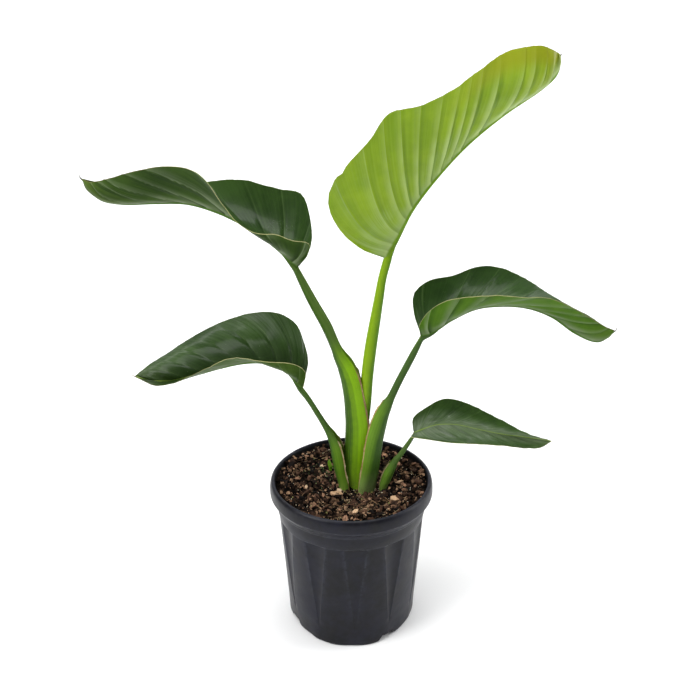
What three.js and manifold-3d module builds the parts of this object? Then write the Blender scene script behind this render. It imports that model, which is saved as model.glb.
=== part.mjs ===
// Potted bird of paradise: a moulded nursery pot, its potting mix, and one plant of five folded leaves.
// Millimetres, Z up. The origin is the centre of the pot's underside; +X is right and +Y is to the back.
import * as THREE from "three";
import { mergeVertices } from "three/addons/utils/BufferGeometryUtils.js";
import Module from "manifold-3d";

const wasm = await Module();
wasm.setup();

// ---- Driving dimensions -----------------------------------------------------------------------

const GAP = 0.3;

// Pot: a thin wall that widens upward, eleven scooped flutes and a thick rounded rim.
const POT_HEIGHT = 185.5;
const WALL = 2;
const FOOT_RADIUS = 72.8;
// The foot is not quite round: how far it stands out every 15 degrees from the front to the side.
const FOOT_OUT = [1.2, 2.4, 1.2, -1.8, -2.2, -1.2, 0.8];
const FOOT_FADE = 50;
const COLLAR_RADIUS = 84.2;
const RIM_RADIUS = 94.2;
const FLUTES = 11;
const FLUTE_FIRST = 3;
const FLUTE_TOP = 142;
const FLUTE_END = 30;
const FLUTE_DEPTH = 3;
const FLUTE_HALF_TOP = 9.5;
const FLUTE_HALF_END = 1.2;
const FLOOR = 3;
const NOTCH_TURNS = [35, 113, 215, 293];
const NOTCH_WIDTH = 16;
const NOTCH_SPREAD = 6;
const NOTCH_HEIGHT = 8;
const NOTCH_INNER = 32;

// Potting mix: its surface stands below the rim, with bark pieces lying half sunk in it.
const SOIL_LEVEL = 180;
const SOIL_DISH = 6;
const SOIL_COLUMNS = 40;
const SOIL_ROUGHNESS = 1.5;
const BARK_PIECES = 36;

// Stalks stand this deep in the mix, and keep one width there.
const STALK_FOOT = 140;
const STALK_STRAIGHT = 176;

// Leaf blades: thin skins on a keel that thins toward the tip.
const BLADE_THICKNESS = 1;
const KEEL_SHARE = 0.07;
const TIP_END = 0.985;

// ---- Small helpers ----------------------------------------------------------------------------

const V = (x, y, z) => new THREE.Vector3(x, y, z);
const radians = THREE.MathUtils.degToRad;
const clamp = THREE.MathUtils.clamp;
const lerp = THREE.MathUtils.lerp;

// A repeatable stream of numbers between 0 and 1.
function seeded(seed) {
  let state = seed;
  return () => {
    state = (state * 16807) % 2147483647;
    return state / 2147483647;
  };
}

// Values given at evenly spaced stations, read anywhere between 0 and 1.
function atStations(values, t) {
  const place = clamp(t, 0, 1) * (values.length - 1);
  const index = Math.min(Math.floor(place), values.length - 2);
  const share = place - index;
  const eased = share * share * (3 - 2 * share);
  return lerp(values[index], values[index + 1], eased);
}

function route(points) {
  const curve = new THREE.CatmullRomCurve3(
    points.map((p) => V(...p)),
    false,
    "catmullrom",
    0.5,
  );
  curve.arcLengthDivisions = 400;
  return curve;
}

function geometryOf(points, faces) {
  const geometry = new THREE.BufferGeometry();
  const positions = new Float32Array(points.length * 3);
  points.forEach((p, i) => p.toArray(positions, i * 3));
  geometry.setAttribute("position", new THREE.BufferAttribute(positions, 3));
  geometry.setIndex(faces.flat());
  return geometry;
}

function solidOf(geometry) {
  const plain = geometry.index ? geometry.toNonIndexed() : geometry.clone();
  plain.deleteAttribute("normal");
  plain.deleteAttribute("uv");
  const merged = mergeVertices(plain, 1e-3);
  return new wasm.Manifold(
    new wasm.Mesh({
      numProp: 3,
      vertProperties: merged.attributes.position.array,
      triVerts: new Uint32Array(merged.index.array),
    }),
  );
}

function geometryFrom(solid) {
  const mesh = solid.getMesh();
  const geometry = new THREE.BufferGeometry();
  const positions = new Float32Array(mesh.numVert * 3);
  for (let i = 0; i < mesh.numVert; i += 1) {
    positions.set(mesh.vertProperties.subarray(i * mesh.numProp, i * mesh.numProp + 3), i * 3);
  }
  geometry.setAttribute("position", new THREE.BufferAttribute(positions, 3));
  geometry.setIndex(new THREE.BufferAttribute(mesh.triVerts, 1));
  return geometry;
}

// A closed skin over rings of points, each ring turning the same way, with both ends closed.
function skinOfRings(rings, capOf) {
  const count = rings[0].length;
  const points = rings.flat();
  const faces = [];
  for (let r = 0; r < rings.length - 1; r += 1) {
    for (let i = 0; i < count; i += 1) {
      const j = (i + 1) % count;
      const a = r * count + i;
      const b = r * count + j;
      const c = b + count;
      const d = a + count;
      faces.push([a, b, c], [a, c, d]);
    }
  }
  const last = (rings.length - 1) * count;
  capOf(rings[0]).forEach(([a, b, c]) => faces.push([a, c, b]));
  capOf(rings[rings.length - 1]).forEach(([a, b, c]) => faces.push([last + a, last + b, last + c]));
  return geometryOf(points, faces);
}

function fanCap(ring) {
  return ring.slice(2).map((_, i) => [0, i + 1, i + 2]);
}

// ---- Pot --------------------------------------------------------------------------------------

// Wall rows from the foot over the rim to the floor inside: height, radius, flute depth share.
const OUTER_ROWS = [
  [0, FOOT_RADIUS, 0],
  [1.5, FOOT_RADIUS + 0.9, 0],
  [FLUTE_END - 8, 74.9, 0],
  [FLUTE_END, 75.6, 0.12],
  [84, 79.7, 0.56],
  [FLUTE_TOP - 0.6, COLLAR_RADIUS - 0.2, 1],
  [FLUTE_TOP, COLLAR_RADIUS + 0.2, 0],
  [150, COLLAR_RADIUS + 1.8, 0],
  [160, COLLAR_RADIUS + 2.8, 0],
  [162.5, RIM_RADIUS - 5.8, 0],
  [168.5, RIM_RADIUS - 0.8, 0],
  [170, RIM_RADIUS, 0],
  [177, RIM_RADIUS, 0],
  [182.5, RIM_RADIUS - 0.9, 0],
  [185, RIM_RADIUS - 2.8, 0],
  [POT_HEIGHT, RIM_RADIUS - 4.4, 0],
];
const INNER_ROWS = [
  [184.6, RIM_RADIUS - 5.8, 0],
  [181, RIM_RADIUS - 6.4, 0],
  [150, COLLAR_RADIUS - 0.4, 0],
  [FLUTE_TOP + 0.4, COLLAR_RADIUS - 1.9, 0],
  [FLUTE_TOP - 1.6, COLLAR_RADIUS - 2.2, 1],
  [84, 77.7, 0.56],
  [FLUTE_END, 73.6, 0.12],
  [FLOOR, 71.2, 0],
];

// Eight points to each flute: five across the scoop and three on the plain wall beside it.
function wallRing([height, radius, share]) {
  const ring = [];
  const drop = clamp((FLUTE_TOP - height) / (FLUTE_TOP - FLUTE_END), 0, 1);
  const half = lerp(FLUTE_HALF_TOP, FLUTE_HALF_END, drop);
  const pitch = 360 / FLUTES;
  const beside = (half + pitch / 2) / 2;
  const turns = [-half, -half / 2, 0, half / 2, half, beside, pitch / 2, pitch - beside];
  const scoop = [0, 0.75, 1, 0.75, 0, 0, 0, 0];
  for (let f = 0; f < FLUTES; f += 1) {
    turns.forEach((turn, i) => {
      const angle = radians(FLUTE_FIRST + f * pitch + turn - 90);
      const aside = Math.acos(Math.abs(Math.sin(angle))) / (Math.PI / 2);
      const out = atStations(FOOT_OUT, aside) * clamp(1 - height / FOOT_FADE, 0, 1);
      const r = radius + out - scoop[i] * share * FLUTE_DEPTH;
      ring.push(V(r * Math.cos(angle), r * Math.sin(angle), height));
    });
  }
  return ring;
}

// A bar that runs outward along one angle, wider below than above.
function radialBar(angle, from, to, extra, low, high) {
  const bar = new THREE.BoxGeometry(to - from, 1, high - low);
  bar.translate((from + to) / 2, 0, (low + high) / 2);
  const position = bar.getAttribute("position");
  for (let i = 0; i < position.count; i += 1) {
    const drop = (NOTCH_HEIGHT - position.getZ(i)) / NOTCH_HEIGHT;
    const width = NOTCH_WIDTH + 2 * NOTCH_SPREAD * drop + 2 * extra;
    position.setY(i, Math.sign(position.getY(i)) * 0.5 * width);
  }
  bar.rotateZ(radians(angle - 90));
  return solidOf(bar);
}

function buildPot() {
  const rows = [...OUTER_ROWS, ...INNER_ROWS];
  let pot = solidOf(skinOfRings(rows.map(wallRing), fanCap));
  // Each drainage notch runs inward as a channel, and the floor rises over it.
  const cover = NOTCH_HEIGHT + WALL;
  NOTCH_TURNS.forEach((turn) => {
    pot = pot.add(radialBar(turn, NOTCH_INNER - WALL, 69, WALL, 1, cover));
  });
  NOTCH_TURNS.forEach((turn) => {
    pot = pot.subtract(radialBar(turn, NOTCH_INNER, 90, 0, -4, NOTCH_HEIGHT));
  });
  return geometryFrom(pot);
}

// ---- Potting mix ------------------------------------------------------------------------------

const SOIL_RINGS = [86, 77, 67, 56, 44, 31, 17];

function soilRing(radius, heightOf) {
  return Array.from({ length: SOIL_COLUMNS }, (_, i) => {
    const angle = (i / SOIL_COLUMNS) * Math.PI * 2;
    const x = radius * Math.cos(angle);
    const y = radius * Math.sin(angle);
    return V(x, y, heightOf(x, y));
  });
}

function barkPiece(random, spot, size) {
  const piece = new THREE.CylinderGeometry(1, 0.8, 1, 5 + Math.floor(random() * 2));
  piece.scale(size, size * (0.35 + 0.3 * random()), size * (0.5 + 0.4 * random()));
  piece.rotateX((random() - 0.5) * 1.4);
  piece.rotateY(random() * 3);
  piece.rotateZ(random() * 6.3);
  piece.translate(spot.x, spot.y, spot.z);
  return solidOf(piece);
}

function buildSoil(stalkHoles) {
  const random = seeded(41);
  const waves = Array.from({ length: 9 }, () => [
    0.05 + 0.13 * random(),
    random() * 6.3,
    random() * 6.3,
    0.4 + 0.6 * random(),
  ]);
  const bumps = (x, y) =>
    waves.reduce((sum, [pace, turn, shift, size]) => {
      const along = x * Math.cos(turn) + y * Math.sin(turn);
      return sum + size * Math.sin(along * pace * 2 + shift);
    }, 0) / 3;
  const level = (x, y) => {
    const inward = THREE.MathUtils.smoothstep(1 - Math.hypot(x, y) / 85, 0, 0.6);
    return SOIL_LEVEL - SOIL_DISH * inward + SOIL_ROUGHNESS * bumps(x, y);
  };
  const flat = (z) => () => z;
  const below = FLUTE_TOP - 3;
  const rings = [
    soilRing(68.4, flat(FLOOR + GAP)),
    soilRing(72.2, flat(FLUTE_END)),
    soilRing(COLLAR_RADIUS - 2.4 - FLUTE_DEPTH - GAP, flat(below)),
    soilRing(COLLAR_RADIUS - 2.3 - FLUTE_DEPTH, flat(FLUTE_TOP)),
    soilRing(COLLAR_RADIUS - 0.6 - GAP, flat(150.5)),
    soilRing(RIM_RADIUS - 7.2, flat(SOIL_LEVEL - 2)),
    ...SOIL_RINGS.map((radius) => soilRing(radius, level)),
  ];
  let soil = solidOf(skinOfRings(rings, fanCap));
  for (let i = 0; i < BARK_PIECES; i += 1) {
    const radius = 80 * Math.sqrt(0.06 + 0.94 * random());
    const angle = random() * Math.PI * 2;
    const x = radius * Math.cos(angle);
    const y = radius * Math.sin(angle);
    const size = 2.5 + 4.5 * random() ** 2;
    soil = soil.add(barkPiece(random, V(x, y, level(x, y) + 0.1 * size), size));
  }
  const cover = NOTCH_HEIGHT + WALL + GAP;
  NOTCH_TURNS.forEach((turn) => {
    soil = soil.subtract(radialBar(turn, NOTCH_INNER - WALL - GAP, 90, WALL + 0.4, 0, cover));
  });
  stalkHoles.forEach((hole) => {
    soil = soil.subtract(hole);
  });
  const bodies = soil.decompose();
  bodies.sort((a, b) => b.volume() - a.volume());
  return geometryFrom(bodies[0]);
}

// ---- Stalks -----------------------------------------------------------------------------------

// A stalk's section is an oval. `back` is its rounded outer side, `deep` and `wide` its half sizes.
// `wrap` is how far round the outer side runs, in degrees, and `open` how far the front is hollowed.
const OUTER_STEPS = 11;
const INNER_STEPS = 7;
const SHEATH = 2;

function stalkRing(centre, along, back, s) {
  const rear = back.clone().addScaledVector(along, -back.dot(along)).normalize();
  const side = along.clone().cross(rear).normalize();
  const at = (angle, deep, wide) => [deep * Math.cos(angle), wide * Math.sin(angle)];
  const wrap = radians(s.wrap);
  const flat = [];
  for (let i = 0; i <= OUTER_STEPS; i += 1) {
    flat.push(at(lerp(-wrap, wrap, i / OUTER_STEPS), s.deep, s.wide));
  }
  const first = at(wrap, s.deep, s.wide);
  const last = at(-wrap, s.deep, s.wide);
  for (let i = 1; i < INNER_STEPS; i += 1) {
    const t = i / INNER_STEPS;
    const hollow = at(lerp(wrap, -wrap, t), s.deep - SHEATH, s.wide - SHEATH);
    const chord = [lerp(first[0], last[0], t), lerp(first[1], last[1], t)];
    const share = s.open * Math.min(1, 8 * t, 8 * (1 - t));
    flat.push([lerp(chord[0], hollow[0], share), lerp(chord[1], hollow[1], share)]);
  }
  return flat.map(([d, w]) => centre.clone().addScaledVector(rear, d).addScaledVector(side, w));
}

// The section is closed as a strip between its outer and inner sides.
function sectionCap() {
  const faces = [];
  const total = OUTER_STEPS + INNER_STEPS;
  const inner = (k) => (total - k) % total;
  let outerAt = 0;
  let innerAt = 0;
  while (outerAt < OUTER_STEPS || innerAt < INNER_STEPS) {
    const outerNext = (outerAt + 1) / OUTER_STEPS;
    const innerNext = (innerAt + 1) / INNER_STEPS;
    const a = outerAt;
    const b = innerAt === INNER_STEPS ? OUTER_STEPS : inner(innerAt);
    if (outerAt < OUTER_STEPS && (outerNext <= innerNext || innerAt >= INNER_STEPS)) {
      if (a + 1 !== b && a !== b) faces.push([a, a + 1, b]);
      outerAt += 1;
    } else {
      const c = innerAt + 1 === INNER_STEPS ? OUTER_STEPS : inner(innerAt + 1);
      if (a !== b && a !== c) faces.push([a, c, b]);
      innerAt += 1;
    }
  }
  return faces;
}

const STALKS = {
  crown: {
    backFoot: [1, -0.3, 0],
    backTop: [1, -0.1, 0],
    stations: [
      { at: [6.5, 0, STALK_FOOT], deep: 6, wide: 5.5, wrap: 165, open: 0.1 },
      { at: [6.5, 0, STALK_STRAIGHT], deep: 6, wide: 5.5, wrap: 165, open: 0.1 },
      { at: [9.5, 0.4, 215], deep: 6.4, wide: 5.8, wrap: 165, open: 0.1 },
      { at: [13.5, 1.5, 262], deep: 6.9, wide: 6, wrap: 165, open: 0.12 },
      { at: [15.5, 1.1, 287], deep: 6.9, wide: 6, wrap: 162, open: 0.12 },
      { at: [17.5, 1.1, 318], deep: 6.8, wide: 6, wrap: 160, open: 0.15 },
      { at: [20.5, 1, 349], deep: 6.8, wide: 6, wrap: 158, open: 0.18 },
      { at: [24.5, 1, 379], deep: 6.3, wide: 5.8, wrap: 155, open: 0.2 },
      { at: [29, 0.5, 411], deep: 5.5, wide: 5.4, wrap: 150, open: 0.25 },
      { at: [32.5, 0, 436], deep: 5, wide: 5.2, wrap: 145, open: 0.3 },
    ],
    top: { deep: 5.4, wide: 5.4, wrap: 130, open: 0.3, drop: 1.8 },
  },
  upper_left: {
    backFoot: [-1, 0, 0],
    backTop: [-1, 0, 0],
    stations: [
      { at: [6.3, 0, STALK_FOOT], deep: 16.8, wide: 9, wrap: 125, open: 1 },
      { at: [6.3, 0, STALK_STRAIGHT], deep: 16.8, wide: 9, wrap: 125, open: 1 },
      { at: [8.2, 0.4, 205], deep: 17.2, wide: 9.4, wrap: 125, open: 1 },
      { at: [9.7, 1.1, 250], deep: 16.7, wide: 10, wrap: 125, open: 1 },
      { at: [8, 1.9, 272], deep: 15.6, wide: 10, wrap: 125, open: 1 },
      { at: [5.3, 2.5, 292], deep: 14.3, wide: 9.6, wrap: 125, open: 1 },
      { at: [1.2, 2.6, 312], deep: 13.2, wide: 9, wrap: 128, open: 0.95 },
      { at: [-4.7, 3.2, 328], deep: 11.3, wide: 8, wrap: 134, open: 0.8 },
      { at: [-12.1, 3.2, 341], deep: 8.2, wide: 6.9, wrap: 142, open: 0.45 },
      { at: [-17.5, 3.6, 353], deep: 6.1, wide: 6.2, wrap: 145, open: 0.25 },
      { at: [-27.5, 3.8, 378], deep: 6, wide: 6, wrap: 150, open: 0.2 },
      { at: [-43, 4, 409], deep: 5.3, wide: 5.4, wrap: 146, open: 0.22 },
    ],
    top: { deep: 4.2, wide: 5.2, wrap: 128, open: 0.3, drop: 2 },
  },
  lower_left: {
    backFoot: [-1, 0.1, 0],
    backTop: [-1, 0, 0],
    stations: [
      { at: [-6.2, 0, STALK_FOOT], deep: 8.8, wide: 13.6, wrap: 124, open: 1 },
      { at: [-6.2, 0, STALK_STRAIGHT], deep: 8.8, wide: 13.6, wrap: 124, open: 1 },
      { at: [-10.7, -0.6, 196], deep: 8.6, wide: 12.6, wrap: 126, open: 1 },
      { at: [-13.8, -1.6, 214], deep: 8.6, wide: 11, wrap: 130, open: 1 },
      { at: [-17.2, -3.3, 230], deep: 7.4, wide: 8.6, wrap: 136, open: 0.9 },
      { at: [-22.5, -5.7, 245], deep: 5.6, wide: 6, wrap: 142, open: 0.6 },
      { at: [-29, -6.5, 257], deep: 3.6, wide: 4.4, wrap: 146, open: 0.3 },
      { at: [-37.5, -8.5, 274], deep: 3.1, wide: 3.6, wrap: 150, open: 0.2 },
      { at: [-47, -9.4, 292], deep: 3.1, wide: 3.5, wrap: 148, open: 0.2 },
    ],
    top: { deep: 3.2, wide: 4.4, wrap: 128, open: 0.3, drop: 1.6 },
  },
  upper_right: {
    backFoot: [0.85, -0.53, 0],
    backTop: [1, -0.1, 0],
    stations: [
      { at: [17.4, -5, STALK_FOOT], deep: 10, wide: 14, wrap: 110, open: 1 },
      { at: [17.4, -5, STALK_STRAIGHT], deep: 10, wide: 14, wrap: 110, open: 1 },
      { at: [20, -5.6, 195], deep: 10.4, wide: 13.6, wrap: 112, open: 1 },
      { at: [22.5, -6.6, 217], deep: 10.6, wide: 12.6, wrap: 116, open: 1 },
      { at: [25.2, -6.3, 238], deep: 10.6, wide: 11.2, wrap: 122, open: 1 },
      { at: [28.6, -5.9, 255], deep: 10.2, wide: 10, wrap: 128, open: 1 },
      { at: [33, -6, 271], deep: 9, wide: 8.8, wrap: 134, open: 0.95 },
      { at: [38.6, -6.1, 284], deep: 7, wide: 7, wrap: 140, open: 0.7 },
      { at: [44, -5.7, 295], deep: 4.9, wide: 5.4, wrap: 144, open: 0.4 },
      { at: [52, -5.9, 314], deep: 4.3, wide: 4.8, wrap: 148, open: 0.2 },
      { at: [62, -5.8, 336], deep: 4.1, wide: 4.5, wrap: 148, open: 0.2 },
    ],
    top: { deep: 3.8, wide: 4.8, wrap: 130, open: 0.3, drop: 1.8 },
  },
  lower_right: {
    backFoot: [1, -0.2, 0],
    backTop: [1, -0.2, 0],
    stations: [
      { at: [36.4, -3, STALK_FOOT], deep: 5.6, wide: 8, wrap: 128, open: 1 },
      { at: [36.4, -3, STALK_STRAIGHT], deep: 5.6, wide: 8, wrap: 128, open: 1 },
      { at: [38.4, -3.2, 184], deep: 6.6, wide: 8, wrap: 130, open: 1 },
      { at: [41.2, -3.4, 193], deep: 6.9, wide: 7.4, wrap: 132, open: 0.9 },
      { at: [45.4, -3.5, 202], deep: 5.9, wide: 6.2, wrap: 136, open: 0.7 },
      { at: [50, -3.6, 210], deep: 4.1, wide: 4.6, wrap: 142, open: 0.4 },
      { at: [55.5, -3.8, 218], deep: 3.1, wide: 3.6, wrap: 146, open: 0.2 },
      { at: [61.5, -3.9, 228], deep: 2.9, wide: 3.3, wrap: 146, open: 0.2 },
    ],
    top: { deep: 2.4, wide: 1.9, wrap: 132, open: 0.25, drop: 1.3 },
  },
};

// The stalk ends just short of the blade, square to the midrib and a little on its outer side.
function buildStalk({ backFoot, backTop, stations, top }, leaf) {
  const rib = route(leaf.rib);
  const joint = V(...leaf.rib[0]);
  const onward = rib.getTangentAt(0);
  const outer = V(...backTop).addScaledVector(onward, -V(...backTop).dot(onward)).normalize();
  const end = joint.addScaledVector(onward, -GAP).addScaledVector(outer, top.drop);
  const sections = [...stations, top];
  const centres = [...stations.map((s) => V(...s.at)), end];
  const path = new THREE.CatmullRomCurve3(centres, false, "catmullrom", 0.5);
  const count = sections.length;
  const rings = sections.map((s, i) => {
    const along = path.getTangent(i / (count - 1));
    if (i < 2) along.set(0, 0, 1);
    if (i === count - 1) along.copy(onward);
    const turn = clamp((i - 1) / (count - 2), 0, 1);
    const back = V(...backFoot).lerp(V(...backTop), turn);
    return stalkRing(centres[i], along, back, s);
  });
  return skinOfRings(rings, sectionCap);
}

// A plain oval hole for one stalk, a little wider and deeper than its foot.
function stalkHole({ backFoot, stations }) {
  const foot = stations[0];
  const hole = new THREE.CylinderGeometry(1, 1, 60, 20);
  hole.rotateX(Math.PI / 2);
  hole.scale(foot.deep + GAP + 0.3, foot.wide + GAP + 0.3, 1);
  hole.rotateZ(Math.atan2(backFoot[1], backFoot[0]));
  hole.translate(foot.at[0], foot.at[1], STALK_FOOT - GAP + 30);
  return solidOf(hole);
}

// ---- Leaf blades ------------------------------------------------------------------------------

// `rib` is the midrib and `near` and `far` the two margins, all from the stalk to the tip.
// Veins leave the rib and run forward to the margin by `sweep`, bent backward by `bow`. `bulge`
// rounds each half outward.
// Both halves are pleated along their veins: a crease stands out below at each of `creases`, by
// `fold`. `keel` is how far the rib stands out below, and `base` the half width at the stalk.
const BLADES = {
  crown: {
    turn: 1,
    rib: [
      [36, 0, 460], [46, -1, 482], [62, -4, 517], [86, -9, 553], [115, -16, 589],
      [149, -25, 622], [182, -35, 649], [196, -43, 667], [198, -46, 686],
    ],
    near: [
      [11, -16, 475], [-10, -24, 497], [-23, -30, 525], [-21, -33, 551],
      [-5, -34, 573], [18, -34, 599], [36, -34, 625], [66, -36, 634], [97, -40, 650],
      [118, -44, 668], [145, -50, 689], [172, -56, 697], [188, -54, 693], [198, -46, 686],
    ],
    far: [
      [18, 22, 466], [0, 34, 485], [-8, 42, 509], [-5, 47, 532],
      [9, 50, 553], [30, 50, 575], [51, 48, 591], [75, 44, 607], [103, 36, 625],
      [128, 26, 641], [153, 12, 661], [176, -8, 674], [190, -30, 683], [198, -46, 686],
    ],
    sweepNear: [0.36, 0.36, 0.345, 0.335, 0.295, 0.245, 0.18, 0.1, 0],
    sweepFar: [0.36, 0.36, 0.345, 0.335, 0.295, 0.245, 0.18, 0.1, 0],
    bow: [0.13, 0.13, 0.06, 0.03, -0.02, -0.08, -0.08, -0.04, 0],
    bulgeNear: [4, 8, 10, 10, 12, 14, 8],
    bulgeFar: [4, 8, 8, 8, 8, 6, 4],
    creases: [
      0.03, 0.06, 0.105, 0.165, 0.215, 0.265, 0.33, 0.385, 0.44, 0.49, 0.575, 0.68, 0.74, 0.8, 0.88,
    ],
    fold: 1.3,
    keel: 4.4,
    base: 5,
  },
  upper_left: {
    turn: -1,
    rib: [
      [-58, 4, 447], [-74, 7, 464], [-93, 12, 478], [-117, 16, 493], [-145, 20, 505],
      [-175, 24, 512], [-208, 26, 511.5], [-243, 27, 510], [-268, 27, 516], [-285, 28, 538],
    ],
    near: [
      [-46, -10, 467], [-45, -20, 484], [-62, -30, 491], [-78, -36, 500],
      [-98, -38, 502], [-116, -36, 513], [-132, -30, 531], [-148, -20, 552], [-166, -12, 562],
      [-195, -6, 562], [-228, 0, 554], [-256, 10, 543], [-274, 20, 537], [-285, 28, 538],
    ],
    far: [
      [-43, 20, 467], [-45, 34, 495], [-54, 42, 516], [-75, 48, 519],
      [-94, 52, 522], [-113, 54, 527], [-135, 56, 527], [-158, 56, 525], [-184, 54, 527],
      [-216, 50, 531], [-242, 44, 530], [-264, 37, 530], [-285, 28, 538],
    ],
    sweepNear: [0.25, 0.22, 0.2, 0.22, 0.26, 0.24, 0.18, 0.1, 0],
    sweepFar: [0.28, 0.28, 0.29, 0.29, 0.27, 0.24, 0.18, 0.1, 0],
    bow: [0.12, 0.1, 0.06, 0.02, 0, 0, 0, 0, 0],
    bulgeNear: [2, 1, 1, 4, 8, 10, 8],
    bulgeFar: [5, 9, 9, 8, 7, 6, 4],
    creases: [0.03, 0.09, 0.17, 0.26, 0.35, 0.43, 0.53, 0.61, 0.71, 0.8, 0.9],
    fold: 1.1,
    keel: 3,
    base: 4.8,
  },
  lower_left: {
    turn: -1,
    rib: [
      [-56, -10, 309], [-71, -13, 331], [-91, -17, 343], [-115, -22, 346], [-141, -26, 342],
      [-169, -30, 335], [-194, -34, 330], [-215, -37, 332], [-234, -38, 337],
    ],
    near: [
      [-50, -22, 332], [-56, -32, 346], [-71, -44, 357], [-93, -54, 363],
      [-111, -60, 370], [-128, -62, 371], [-148, -62, 362], [-169, -60, 350], [-190, -55, 338],
      [-210, -48, 331], [-222, -42, 333], [-234, -38, 337],
    ],
    far: [
      [-48, 4, 334], [-53, 12, 355], [-62, 18, 374], [-83, 22, 385],
      [-109, 24, 384], [-133, 24, 377], [-159, 20, 367], [-182, 12, 356], [-203, 0, 346],
      [-221, -16, 340], [-234, -38, 337],
    ],
    sweepNear: [0.24, 0.21, 0.19, 0.17, 0.15, 0.12, 0.1, 0.06, 0],
    sweepFar: [0.26, 0.27, 0.28, 0.28, 0.26, 0.23, 0.17, 0.1, 0],
    bow: [0.12, 0.1, 0.06, 0.02, 0, 0, 0, 0, 0],
    bulgeNear: [2, 2, 1, 0.5, 0, 0, 0],
    bulgeFar: [-2, -9, -11, -11, -9, -6, -3],
    creases: [0.04, 0.11, 0.2, 0.3, 0.41, 0.51, 0.62, 0.73, 0.86],
    fold: 0.9,
    keel: 2.4,
    base: 4.2,
  },
  upper_right: {
    turn: 1,
    rib: [
      [76, -6, 370], [88, -7, 376], [108, -9, 392], [134, -11, 406], [164, -13, 410],
      [191, -14, 407], [216, -16, 397], [241, -18, 379], [266, -18, 369], [284, -18, 382],
    ],
    near: [
      [73, -17, 389], [83, -28, 411], [101, -38, 427], [125, -44, 434],
      [151, -46, 436], [177, -46, 434], [201, -44, 433], [224, -40, 423], [247, -34, 408],
      [267, -27, 393], [284, -18, 382],
    ],
    far: [
      [68, 6, 391], [68, 16, 411], [85, 26, 422], [110, 32, 425],
      [138, 36, 434], [163, 38, 432], [188, 38, 421], [213, 34, 406], [236, 26, 394],
      [258, 12, 387], [273, -4, 382], [284, -18, 382],
    ],
    sweepNear: [0.24, 0.2, 0.18, 0.22, 0.25, 0.23, 0.17, 0.1, 0],
    sweepFar: [0.28, 0.29, 0.29, 0.25, 0.2, 0.15, 0.11, 0.06, 0],
    bow: [0.12, 0.1, 0.05, 0.02, 0, 0, 0, 0, 0],
    bulgeNear: [3, 3, 1, 1, 3, 8, 7],
    bulgeFar: [3, 4, 3, 1, 0, -1, -1],
    creases: [0.04, 0.12, 0.2, 0.29, 0.4, 0.49, 0.6, 0.72, 0.85],
    fold: 0.9,
    keel: 2.4,
    base: 4.2,
  },
  lower_right: {
    turn: 1,
    rib: [
      [71, -4, 247], [81, -5, 253], [96, -6, 259], [117, -7, 260], [140, -8, 255],
      [168, -9, 249], [198, -10, 245], [227, -10, 240],
    ],
    near: [
      [67, -15, 248], [85, -24, 250], [110, -31, 250], [138, -34, 250],
      [165, -32, 247], [195, -26, 240], [213, -18, 236], [227, -10, 240],
    ],
    far: [
      [70, 6, 261], [85, 14, 270], [106, 20, 278], [130, 22, 272],
      [153, 20, 261], [176, 14, 251], [200, 4, 242], [227, -10, 240],
    ],
    sweepNear: [0.3, 0.31, 0.31, 0.3, 0.27, 0.23, 0.17, 0.1, 0],
    sweepFar: [0.28, 0.28, 0.27, 0.24, 0.2, 0.16, 0.12, 0.07, 0],
    bow: [0.1, 0.08, 0.05, 0.02, 0, 0, 0, 0, 0],
    bulgeNear: [1, 2, 3, 3, 3, 2, 1],
    bulgeFar: [2, 4, 5, 4, 3, 2, 1],
    creases: [0.05, 0.14, 0.25, 0.36, 0.48, 0.59, 0.7, 0.83],
    fold: 0.6,
    keel: 1.8,
    base: 3.4,
  },
};

const ACROSS = [0, KEEL_SHARE, 0.3, 0.55, 0.8, 1];
const BASE_ROWS = [0, 0.007, 0.015, 0.022];
const ROW_LEAST = 0.004;

// Where `v` lies between the crease before it and the crease after it, from 0 to 1.
function placeInStrip(leaf, v) {
  const edges = [0, ...leaf.creases, 1];
  const after = edges.findIndex((edge, i) => i > 0 && v <= edge);
  return (v - edges[after - 1]) / (edges[after] - edges[after - 1]);
}

// Rows of the blade: at its base, on each crease and halfway between two, and short of the tip.
function bladeRows(leaf) {
  const edges = [0, ...leaf.creases, 1];
  const halfways = edges.slice(1).map((edge, i) => (edge + edges[i]) / 2);
  const rows = [...BASE_ROWS, ...leaf.creases, ...halfways, TIP_END].sort((a, b) => a - b);
  return rows.filter((v, i) => v <= TIP_END && (i === 0 || v - rows[i - 1] > ROW_LEAST));
}

// A point of the blade's middle surface: `v` along the rib, `u` out to the margin of one half.
function bladePoint(leaf, curves, v, u, near) {
  const start = curves.rib.getPointAt(v);
  const along = curves.rib.getTangentAt(v);
  const sweep = atStations(near ? leaf.sweepNear : leaf.sweepFar, v);
  const meet = clamp(v + sweep * (1 - Math.exp(-v / 0.05)), 0, 1);
  const margin = (near ? curves.near : curves.far).getPointAt(meet);
  const reach = margin.sub(start);
  const width = reach.length();
  const outward = along.clone().cross(reach).normalize().multiplyScalar(leaf.turn * (near ? 1 : -1));
  const arch = 4 * u * (1 - u) * clamp(v / 0.05, 0, 1);
  const bulge = atStations(near ? leaf.bulgeNear : leaf.bulgeFar, v) * clamp(width / 40, 0, 1);
  const ridge = Math.abs(2 * placeInStrip(leaf, v) - 1) * 2 - 1;
  const spread = clamp(u / 0.3, 0, 1) * clamp(v / 0.04, 0, 1) * clamp((1 - v) / 0.15, 0, 1);
  return start
    .addScaledVector(reach, u)
    .addScaledVector(outward, arch * bulge + ridge * leaf.fold * spread * (1 - 0.75 * u))
    .addScaledVector(along, -atStations(leaf.bow, v) * arch * width);
}

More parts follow.
